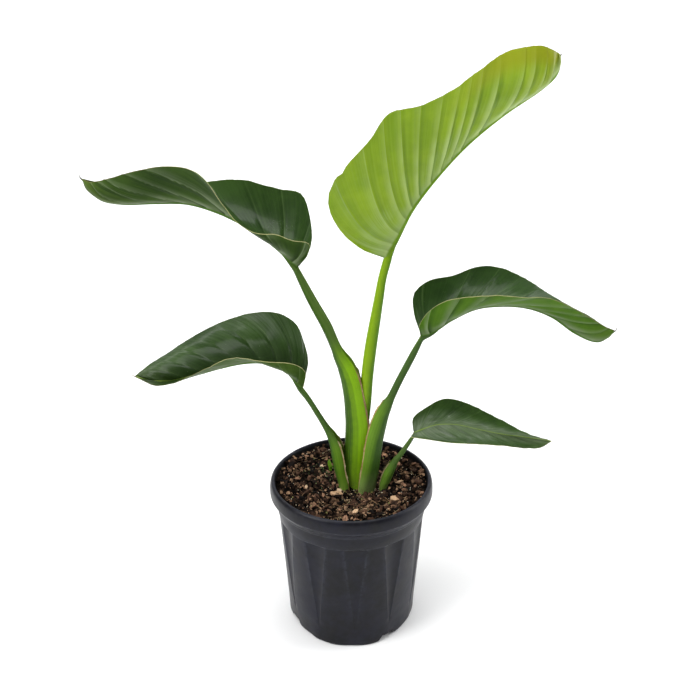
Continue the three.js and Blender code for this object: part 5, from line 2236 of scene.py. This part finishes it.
@dataclass
class Blade:
    """A leaf's blade, a thin folded skin with a keel under its rib."""

    name: str
    form: BladeForm
    seed: int = 1
    row_step: float = 1.5
    first_rows: tuple[float, ...] = (0.0, 0.004, 0.008, 0.012, 0.017, 0.023)
    least_step: float = 0.0011
    thick: float = 0.7
    edge_thick: float = 0.35
    groove: float = 0.45
    shares: tuple[float, ...] = (
        0.0, 0.012, 0.026, 0.042, 0.06, 0.085, 0.115, 0.15, 0.2, 0.26, 0.32, 0.39, 0.46, 0.53, 0.6, 0.67,
        0.74, 0.8, 0.85, 0.9, 0.94, 0.97, 0.99, 1.0,
    )
    rib: Route = field(init=False)
    margins: dict[str, Route] = field(init=False)

    def __post_init__(self) -> None:
        """Lays out the rib and the margins, which start beside the rib and square to it."""
        form = self.form
        self.rib = Route(form.rib)
        joint, onward = np.array(form.rib[0], dtype=float), self.rib.heading(np.zeros(1))[0]
        self.margins = {}
        for side, points in (("near", form.near), ("far", form.far)):
            aside = np.array(points[0], dtype=float) - joint
            aside = unit(aside - onward * aside.dot(onward)) * form.base
            self.margins[side] = Route([tuple(joint + aside), *points])

    def edges(self) -> Array:
        """Places of the creases along the rib, with both ends."""
        return np.concatenate([[0.0], self.form.creases, [1.0]])

    def rows(self) -> Array:
        """Places along the rib for each row: closer at each crease and at the base.

        Returns:
            The places, from 0 to 1.
        """
        edges = self.edges()
        rows = list(self.first_rows)
        for low, high in zip(edges, edges[1:]):
            count = max(4, int((high - low) * self.rib.length / self.row_step))
            t = np.arange(1, count + 1) / count
            eased = 0.5 - 0.5 * np.cos(math.pi * t)
            rows += list(low + (high - low) * (0.55 * t + 0.45 * eased))
        rows = np.unique(np.round(rows, 5))
        kept = [rows[0]]
        for v in rows[1:]:
            if v - kept[-1] > self.least_step:
                kept.append(v)
        return np.array(kept)

    def strip_place(self, v: Array) -> Array:
        """Where each row lies between the crease before it and the one after it, from 0 to 1.

        Args:
            v: Places along the rib.

        Returns:
            One share for each place.
        """
        edges = self.edges()
        after = np.clip(np.searchsorted(edges, v - 1e-9, side="left"), 1, len(edges) - 1)
        return (v - edges[after - 1]) / (edges[after] - edges[after - 1])

    def pleats(self, v: Array) -> Array:
        """How far each row stands out, from -1 to 1: slowly up to a crease, and steeply off behind it.

        Args:
            v: Places along the rib.

        Returns:
            One height for each place.
        """
        edges = self.edges()
        strength = 0.7 + 0.3 * np.sin(np.arange(len(edges)) * 2.4 + self.seed * 1.7)
        place = self.strip_place(v)
        height = np.maximum(1 - 2 * smoothstep(0.0, 0.24, place), 2 * place**1.7 - 1)
        return height * np.interp(v, edges, strength)

    def leaned(self, side: str, v: Array, u: Array) -> Array:
        """Which place along the rib each point's crease starts from."""
        lean = self.form.lean_near if side == "near" else self.form.lean_far
        return clamp(v[:, None] - lean * smoothstep(0.08, 0.5, v)[:, None] * u)

    def half(self, side: str, v: Array, u: Array) -> tuple[Array, Array]:
        """The middle surface of one half.

        Args:
            side: "near" or "far".
            v: Places along the rib.
            u: Shares of the way out to the margin.

        Returns:
            Points as (rows, columns, 3), and the half's width at each row.
        """
        form, is_near = self.form, side == "near"
        start, along = self.rib.at(v), self.rib.heading(v)
        sweep = at_stations(form.sweep_near if is_near else form.sweep_far, v)
        meet = clamp(v + sweep * (1 - np.exp(-v / 0.05)))
        reach = self.margins[side].at(meet) - start
        outward = unit(np.cross(along, reach)) * (form.turn if is_near else -form.turn)
        width = np.linalg.norm(reach, axis=1)
        ragged = 0.003 * ripple(v * 60.0, self.seed) + 0.0015 * ripple(v * 190.0, self.seed + 3)
        for nick_side, place, depth, spread in form.nicks:
            if nick_side == side:
                ragged = ragged - depth / np.maximum(width, 1.0) * np.exp(-(((v - place) / spread) ** 2))
        arch = 4 * u * (1 - u) * clamp(v / 0.05)[:, None]
        bulge = at_stations(form.bulge_near if is_near else form.bulge_far, v) * clamp(width / 40)
        lift = arch * bulge[:, None]
        spread = clamp(u / 0.3) * (clamp(v / 0.04) * clamp((1 - v) / 0.15))[:, None]
        lift = lift + self.pleats(self.leaned(side, v, u)) * form.fold * spread * (1 - 0.88 * u)
        fade = clamp(v / 0.1) * clamp((1 - v) / 0.12)
        wave = form.wave * ripple(v * 15.0, self.seed + (5 if is_near else 8)) * fade
        lift = lift + wave[:, None] * u**5
        share = u * (1 + ragged[:, None] * u**6)
        bowed = at_stations(form.bow, v)[:, None] * arch * width[:, None]
        points = start[:, None, :] + reach[:, None, :] * share[..., None]
        points = points + outward[:, None, :] * lift[..., None] - along[:, None, :] * bowed[..., None]
        return points, width

    @staticmethod
    def mirrored(near: Array, far: Array) -> Array:
        """Joins the columns of both halves, from the near margin over the rib to the far margin."""
        return np.concatenate([near[:, :0:-1], far], axis=1)

    @staticmethod
    def normals(middle: Array) -> Array:
        """Unit directions square to a sheet of points, one for each point.

        Args:
            middle: The points, as (rows, columns, 3).

        Returns:
            The directions, in the same order.
        """
        ahead = np.concatenate([middle[1:], middle[-1:]])
        behind = np.concatenate([middle[:1], middle[:-1]])
        right = np.concatenate([middle[:, 1:], middle[:, -1:]], axis=1)
        left = np.concatenate([middle[:, :1], middle[:, :-1]], axis=1)
        return unit(np.cross(ahead - behind, right - left))

    def build(self) -> Piece:
        """Builds the blade as rings over its upper side and back under it.

        Returns:
            The blade.
        """
        form, v = self.form, self.rows()
        u = np.array(self.shares)[None, :]
        near, near_width = self.half("near", v, u)
        far, far_width = self.half("far", v, u)
        middle, share = self.mirrored(near, far), self.mirrored(u, u)
        every = np.ones_like(u)
        gap = share * self.mirrored(near_width[:, None] * every, far_width[:, None] * every)
        below = self.normals(middle) * -form.turn
        below[-1] = below[-2]
        v_column = v[:, None]
        taper = clamp((1 - v_column) / 0.03) ** 0.5
        rib_width = 4.6 * (1 - v_column) ** 0.7 + 1.1
        rise = form.keel * (1 - 0.85 * v_column) * np.exp(-((gap / rib_width) ** 2) * 1.6)
        groove = self.groove * (1 - 0.6 * v_column) * np.exp(-((gap / (0.32 * rib_width)) ** 2))
        half_thick = (self.thick + (self.edge_thick - self.thick) * share**2) / 2 * taper
        upper = middle + below * (-half_thick + groove * taper)[..., None]
        under = middle + below * (half_thick + rise * taper)[..., None]
        joint, onward = np.array(form.rib[0], dtype=float), self.rib.heading(np.zeros(1))[0]
        for face in (upper, under):
            face[0] += onward * (onward @ joint - face[0] @ onward)[:, None]
        rings = np.concatenate([upper, under[:, ::-1]], axis=1)
        blade = tube_sheet(f"{self.name}_blade", rings)
        columns = middle.shape[1]
        paint_columns(blade, rings.shape[1], [0] * (columns - 1) + [1] * (columns + 1))
        leaned = self.mirrored(self.leaned("near", v, u), self.leaned("far", v, u))
        place = self.strip_place(leaned)
        values = {
            "along": leaned * self.rib.length * MM + self.mirrored(0.0 * u, every) * FAR_SHIFT,
            "reach": v_column,
            "out": share,
            "gap": gap,
            "strip": place,
            "fold": np.abs(2 * place - 1) * smoothstep(0.0, 0.12, share),
        }
        for name, numbers in values.items():
            full = np.broadcast_to(numbers, middle.shape[:2])
            set_value(blade, name, with_ends(np.concatenate([full, full[:, ::-1]], axis=1)))
        weld(blade)
        smooth(blade, 40.0)
        return blade


@dataclass(frozen=True)
class TipCurl:
    """The dried thread that a blade ends in, thinning to its end, with the name of its finish."""

    name: str
    points: tuple[Triple, ...]
    width: float
    finish: str
    rings: int = 16
    sides: int = 8

    def build(self) -> Piece:
        """Builds the thread.

        Returns:
            The thread.
        """
        line = Route(self.points)
        s = np.linspace(0.0, 1.0, self.rings)
        centre, along = line.at(s), line.heading(s)
        side = unit(np.cross(along, np.array([0.2, 1.0, 0.1])))
        up = np.cross(side, along)
        angle = np.arange(self.sides) / self.sides * 2 * math.pi
        half = (self.width / 2 * (1.0 - 0.75 * s**1.5))[:, None, None]
        ring = side[:, None, :] * np.cos(angle)[None, :, None] + up[:, None, :] * np.sin(angle)[None, :, None]
        curl = tube_sheet(f"{self.name}_tip_curl", centre[:, None, :] + ring * half)
        set_on_rings(curl, (self.rings, self.sides), around=angle[None, :], up=s[:, None])
        weld(curl, 1e-6)
        smooth(curl, 60.0)
        return curl


TIP_CURLS = (
    TipCurl(
        "crown", ((195.4, -47, 677), (197.8, -47, 681.5), (197.6, -47, 684.5), (199.2, -47, 688)), 1.7,
        "dark_tip",
    ),
    TipCurl(
        "upper_left", ((-281, 28, 534.5), (-284.4, 28, 537.2), (-286, 28, 539.6), (-286, 28, 541.6)), 2.1,
        "dark_tip",
    ),
    TipCurl(
        "lower_left", ((-232.5, -38, 337), (-235.5, -38, 338.4), (-238, -38, 338), (-240.5, -38, 339.5)),
        0.8, "pale_tip",
    ),
    TipCurl(
        "upper_right", ((281.2, -18, 380), (284, -18, 382.4), (284.4, -18, 385.2), (283, -18, 387)), 1.3,
        "dark_tip",
    ),
)


@dataclass
class Sprout:
    """A short pointed shoot beside the stalks, with a small leaf opening from it."""

    stations: tuple[tuple[Triple, float, float], ...] = (
        ((-25.0, 34.0, 168.0), 1.2, 1.4),
        ((-25.0, 34.0, 177.0), 1.3, 1.8),
        ((-25.6, 34.0, 181.0), 1.5, 2.3),
        ((-26.2, 34.2, 185.0), 1.1, 1.8),
        ((-26.6, 34.4, 188.0), 0.3, 0.35),
    )
    leaf_rib: tuple[Triple, ...] = (
        (-25.2, 33.4, 174.0), (-23.6, 32.6, 178.0), (-21.2, 31.8, 181.0), (-18.6, 31.2, 182.2),
    )
    sides: int = 24
    shoot_rows: int = 40
    leaf_rows: int = 30
    leaf_columns: int = 10
    leaf_thick: float = 0.28

    def shoot(self) -> Piece:
        """The shoot, with a furrow where its leaf is rolled.

        Returns:
            The shoot.
        """
        line = Route([at + (deep, wide) for at, deep, wide in self.stations])
        t = np.linspace(0.0, 1.0, self.shoot_rows)
        values = line.place(t)
        angle = np.arange(self.sides) / self.sides * 2 * math.pi
        furrow = 1 - 0.22 * np.exp(-(((angle - 4.4) / 0.22) ** 2))[None, :]
        x = values[:, 0, None] + values[:, 4, None] * np.cos(angle) * furrow
        y = values[:, 1, None] + values[:, 3, None] * np.sin(angle) * furrow
        z = np.repeat(values[:, 2, None], self.sides, axis=1)
        shoot = tube_sheet("sprout_shoot", np.stack([x, y, z], axis=-1))
        self.store(shoot, angle, t)
        weld(shoot)
        smooth(shoot, 50.0)
        return shoot

    def leaf(self) -> Piece:
        """The small leaf, cupped along its middle.

        Returns:
            The leaf.
        """
        rib = Route(self.leaf_rib)
        s = np.linspace(0.0, 1.0, self.leaf_rows)
        centre, along = rib.at(s), rib.heading(s)
        side = unit(np.cross(along, np.array([0.3, 0.2, 1.0])))
        up = np.cross(side, along)
        half = ((0.35 + 1.7 * np.sin(math.pi * s**0.75) ** 0.9) * (1 - s**6))[:, None]
        t = np.linspace(-1.0, 1.0, self.leaf_columns + 1)
        upper = centre[:, None, :] + side[:, None, :] * (half * t)[..., None]
        upper = upper + up[:, None, :] * (0.45 * half * t**2)[..., None]
        under = upper[:, ::-1] - up[:, None, :] * self.leaf_thick
        rings = np.concatenate([upper, under], axis=1)
        leaf = tube_sheet("sprout_leaf", rings)
        self.store(leaf, np.concatenate([t, t[::-1]]), s)
        weld(leaf)
        smooth(leaf, 50.0)
        return leaf

    @staticmethod
    def store(piece: Piece, around: Array, up: Array) -> None:
        """Stores what the stalk's material reads."""
        shape, none = (len(up), len(around)), np.zeros(1)
        set_on_rings(piece, shape, around=around[None, :], up=0.4 + 0.5 * up[:, None], inner=none, dry=none)


# ---- The plant ----------------------------------------------------------------------------------


@dataclass(frozen=True)
class LeafDress:
    """The finishes of one leaf."""

    upper: LeafSkin
    under: LeafSkin
    stalk: StalkSkin
    slot: str = "mature_blade"


def mature(name: str, side: Side, **changes: object) -> LeafSkin:
    """A full-grown leaf's upper or under side, with its own changes.

    Args:
        name: The leaf's name.
        side: Which side.
        changes: Fields that differ from the usual ones.

    Returns:
        The finish.
    """
    if side is Side.UPPER:
        upper: dict[str, object] = {"deep": paint(28, 54, 9), "light": paint(57, 87, 29)}
        upper.update(changes)
        return LeafSkin(f"{name}_upper", 0.32, 0.17, side, **upper)
    # The under side's strong pale and dark bands and the pale colour beside its rib are painted highlight,
    # shade and sheen.
    under: dict[str, object] = {
        "deep": paint(46, 76, 24), "light": paint(74, 104, 42), "vein": paint(108, 136, 76),
        "pale": paint(140, 154, 120), "pale_share": 0.4, "dark": paint(30, 54, 14), "dark_share": 0.85,
        "line": paint(146, 166, 122), "rib": paint(74, 108, 40), "rib_half": 3.6,
        "near_rib": paint(136, 148, 118), "near_rib_share": 0.5, "near_rib_reach": 20.0, "through": 0.1,
        "marks": 0.0, "wax": 0.0,
    }
    under.update(changes)
    return LeafSkin(f"{name}_under", 0.42, 0.07, side, **under)


def young(name: str, side: Side) -> LeafSkin:
    """The youngest leaf's upper or under side: bright, thin and yellow-green.

    Args:
        name: The leaf's name.
        side: Which side.

    Returns:
        The finish.
    """
    # Its pale and dark bands, the pale colour beside its rib and its pale streaks are painted highlight,
    # shade and sheen.
    return LeafSkin(
        f"{name}_{side.value}", 0.32, 0.2, side, deep=paint(122, 156, 10), light=paint(172, 198, 36),
        vein=paint(190, 210, 90), vein_share=0.2, pale=paint(216, 228, 158), pale_share=0.75,
        dark=paint(76, 114, 6), dark_share=0.85, base_bands=0.5, line=paint(216, 228, 160),
        line_share=0.2, rib=paint(112, 150, 20), rib_half=3.2 if side is Side.UNDER else 1.4,
        near_rib=paint(194, 208, 164), near_rib_share=0.5, near_rib_reach=26.0, tip=paint(164, 172, 44),
        tip_share=0.6, margin=paint(150, 160, 60), margin_late=paint(150, 148, 50),
        margin_far=paint(150, 160, 60), margin_wide=0.3, point=paint(96, 96, 40), cap_share=0.75,
        bloom=paint(206, 222, 156), bloom_share=0.38, bloom_band=(0.0, 0.42), through=0.4,
        glow=paint(180, 216, 8), marks=0.25,
    )


DRESSES = {
    "crown": LeafDress(
        young("crown", Side.UPPER), young("crown", Side.UNDER),
        StalkSkin(
            "crown_stalk", back=paint(82, 124, 8), front=paint(128, 162, 16), foot=paint(120, 152, 34)
        ),
        "young_blade",
    ),
    "upper_left": LeafDress(
        mature("upper_left", Side.UPPER),
        # Its dark streaks over the middle of the half are painted shade.
        mature(
            "upper_left", Side.UNDER, deep=paint(36, 60, 14), light=paint(64, 90, 30),
            dark=paint(20, 38, 6), dark_share=0.9, edge_bands=0.5, pale_share=0.6, line_share=0.5,
            bloom=paint(24, 46, 8), bloom_share=0.9, bloom_band=(0.45, 0.85), bloom_patch=(0.2, 0.45),
            tip=paint(96, 116, 44), tip_share=0.6, near_rib_share=0.4,
        ),
        StalkSkin(
            "upper_left_stalk", back=paint(58, 90, 20), front=paint(128, 174, 8),
            foot=paint(116, 152, 40), edge=paint(140, 100, 76), petiole=paint(74, 100, 36),
            petiole_from=0.66, turn_low=0.7,
        ),
    ),
    "lower_left": LeafDress(
        # Dark colour beside its rib is painted shade, and its streaks near the margin are painted sheen.
        mature(
            "lower_left", Side.UPPER, near_rib=paint(18, 36, 6), near_rib_share=0.7, near_rib_reach=42.0,
            marks=1.0, bloom_share=0.24, bloom_band=(0.6, 1.0), bloom_patch=(0.28, 0.55),
        ),
        mature(
            "lower_left", Side.UNDER, deep=paint(42, 68, 16), light=paint(68, 92, 28),
            near_rib=paint(88, 110, 42), near_rib_share=0.2, pale=paint(112, 130, 72), pale_share=0.2,
            through=0.05,
        ),
        StalkSkin(
            "lower_left_stalk", back=paint(58, 92, 26), front=paint(98, 138, 30),
            foot=paint(112, 146, 56), petiole=paint(68, 98, 36), petiole_from=0.5,
        ),
    ),
    "upper_right": LeafDress(
        # Its streaks are painted sheen.
        mature(
            "upper_right", Side.UPPER, deep=paint(26, 52, 10), light=paint(50, 80, 28), marks=1.0,
            bloom_share=0.4, bloom_band=(0.2, 0.6),
        ),
        # Strong painted highlight and shade bands.
        mature(
            "upper_right", Side.UNDER, deep=paint(60, 98, 16), light=paint(92, 132, 28),
            dark=paint(34, 64, 10), dark_share=1.0, edge_bands=0.6, pale_share=0.7, line_share=0.6,
            through=0.2,
        ),
        StalkSkin(
            "upper_right_stalk", back=paint(50, 82, 22), front=paint(100, 138, 34),
            foot=paint(138, 158, 98), edge=paint(176, 150, 100), inside=paint(140, 176, 40),
            petiole=paint(62, 88, 38), petiole_from=0.6,
        ),
    ),
    "lower_right": LeafDress(
        # Pale colour beside its rib and its streaks are painted sheen.
        mature(
            "lower_right", Side.UPPER, tip=paint(120, 132, 40), tip_share=0.12, line_share=0.4,
            near_rib=paint(112, 124, 96), near_rib_share=0.4, near_rib_reach=30.0, bloom_share=0.48,
            bloom_band=(0.05, 0.6), bloom_patch=(0.24, 0.5), point=paint(196, 184, 40),
        ),
        mature("lower_right", Side.UNDER),
        StalkSkin(
            "lower_right_stalk", gloss=0.18, back=paint(60, 92, 28), front=paint(108, 150, 44),
            foot=paint(116, 146, 66), edge=paint(196, 182, 130), petiole=paint(78, 106, 44),
            petiole_from=0.38,
        ),
    ),
}


DRY_SKINS = (
    DrySkin("purple_edge", 0.6, 0.3, paint(124, 92, 62), paint(184, 166, 112)),
    DrySkin("tan_edge", 0.65, 0.3, paint(150, 118, 70), paint(214, 194, 138)),
    DrySkin("cream_edge", 0.65, 0.3, paint(176, 152, 104), paint(224, 212, 168)),
    DrySkin("dark_tip", 0.6, 0.3, paint(34, 40, 18), paint(76, 80, 40)),
    DrySkin("pale_tip", 0.6, 0.3, paint(120, 100, 76), paint(168, 150, 120)),
)
SHEATH_EDGES = (
    ("upper_left", 190.0, 322.0, 0.9, 0.9, "purple_edge"),
    ("upper_right", 182.0, 288.0, 1.1, 1.1, "tan_edge"),
    ("lower_left", 182.0, 240.0, 1.1, 1.3, "cream_edge"),
    ("lower_right", 180.0, 206.0, 1.0, 1.0, "cream_edge"),
)
SPROUT_SKIN = StalkSkin(
    "sprout_green", gloss=0.4, back=paint(80, 128, 16), front=paint(120, 170, 36), foot=paint(100, 140, 40)
)


class Plant:
    """The five leaves with their stalks, and the sprout."""

    def build_leaf(self, name: str, seed: int) -> Stalk:
        """Builds and dresses one leaf.

        Args:
            name: The leaf's name.
            seed: Which draw its ripples take.

        Returns:
            Its stalk's form, for the strips along its sheath.
        """
        finish = DRESSES[name]
        blade = Blade(name, BLADES[name], seed).build()
        dress(blade, finish.slot, [finish.upper.build(), finish.under.build()])
        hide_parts(f"leaf_{name}_blade")
        form = Stalk(name, STALKS[name], BLADES[name])
        stalk = form.build()
        dress(stalk, "stalk", [finish.stalk.build()])
        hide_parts(f"leaf_{name}_stalk")
        return form

    def build(self) -> None:
        """Builds the whole plant."""
        stalks = {name: self.build_leaf(name, 1 + i) for i, name in enumerate(BLADES)}
        built = {finish.name: finish.build() for finish in DRY_SKINS}
        for name, low, high, left_width, right_width, finish in SHEATH_EDGES:
            for right_side, width in ((True, right_width), (False, left_width)):
                seed = len(name) + int(right_side)
                strip = SheathEdge(stalks[name], right_side, low, high, width, seed).build()
                dress(strip, "stalk", [built[finish]])
        for curl in TIP_CURLS:
            dress(curl.build(), DRESSES[curl.name].slot, [built[curl.finish]])
        sprout, green = Sprout(), SPROUT_SKIN.build()
        shoot, leaf = sprout.shoot(), sprout.leaf()
        dress(shoot, "stalk", [green])
        dress(leaf, "stalk", [green])
        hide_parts("sprout")


# ---- Studio -------------------------------------------------------------------------------------


@dataclass(frozen=True)
class Lamp:
    """A large soft lamp: where it is, what it looks at, its size in metres and its power in watts."""

    name: str
    at: Triple
    aim: Triple
    width: float
    height: float
    power: float


@dataclass
class Studio:
    """Pale floor, soft light and the camera."""

    camera_at: Triple = (-0.0017, -1.2419, 0.9721)
    camera_tilt: float = 63.393
    lens: float = 65.0
    sensor_width: float = 36.0
    view_end: float = 100.0
    floor_size: float = 24.0
    floor_tiles: int = 24
    world_colour: Colour = (0.97, 0.985, 1.0, 1.0)
    world_light: float = 0.28
    lamps: tuple[Lamp, ...] = (
        Lamp("left_window", (-2.0, -1.2, 2.0), (0.0, 0.0, 0.4), 1.4, 1.5, 52.0),
        Lamp("right_window", (2.2, 0.3, 1.1), (0.0, 0.0, 0.3), 1.1, 1.9, 34.0),
        Lamp("ceiling", (-0.2, -0.1, 2.6), (0.0, 0.0, 0.0), 2.2, 2.2, 54.0),
        Lamp("back_panel", (0.0, 3.0, 2.8), (0.0, 4.2, 0.0), 7.0, 2.4, 170.0),
    )

    def build_camera(self) -> None:
        """Adds the camera and makes it the scene's."""
        camera = bpy.data.cameras.new("camera")
        camera.lens = self.lens
        camera.sensor_width = self.sensor_width
        camera.clip_end = self.view_end
        view = bpy.data.objects.new("camera", camera)
        view.location = self.camera_at
        view.rotation_euler = (math.radians(self.camera_tilt), 0.0, 0.0)
        bpy.context.collection.objects.link(view)
        bpy.context.scene.camera = view

    def build_lamps(self) -> None:
        """Adds large soft lamps that look at the plant, and an even sky."""
        for lamp in self.lamps:
            light = bpy.data.lights.new(lamp.name, "AREA")
            light.shape = "RECTANGLE"
            light.size, light.size_y, light.energy = lamp.width, lamp.height, lamp.power
            holder = bpy.data.objects.new(lamp.name, light)
            holder.location = lamp.at
            holder.rotation_euler = (Vector(lamp.aim) - Vector(lamp.at)).to_track_quat("-Z", "Y").to_euler()
            bpy.context.collection.objects.link(holder)
        world = bpy.data.worlds.new("sky")
        world.use_nodes = True
        sky = world.node_tree.nodes["Background"]
        sky.inputs["Color"].default_value = self.world_colour
        sky.inputs["Strength"].default_value = self.world_light
        bpy.context.scene.world = world

    def build_floor(self) -> None:
        """Adds the floor, which is no part of the object."""
        clear_selection()
        tiles = self.floor_tiles
        bpy.ops.mesh.primitive_grid_add(x_subdivisions=tiles, y_subdivisions=tiles, size=self.floor_size)
        floor = named(bpy.context.object, "floor")
        floor.data.materials.append(FloorPaint("floor_paint", 0.9, 0.2).build())

    def build(self) -> None:
        """Builds the studio."""
        self.build_camera()
        self.build_lamps()
        self.build_floor()
        bpy.context.scene.view_settings.view_transform = "Standard"


def main() -> None:
    """Builds the studio, the pot, its mix and the plant."""
    logging.basicConfig(level=logging.INFO, format="%(message)s")
    Studio().build()
    pot = NurseryPot()
    pot.dress(pot.build())
    PottingMix(pot).build()
    Plant().build()


if __name__ == "__main__":
    main()
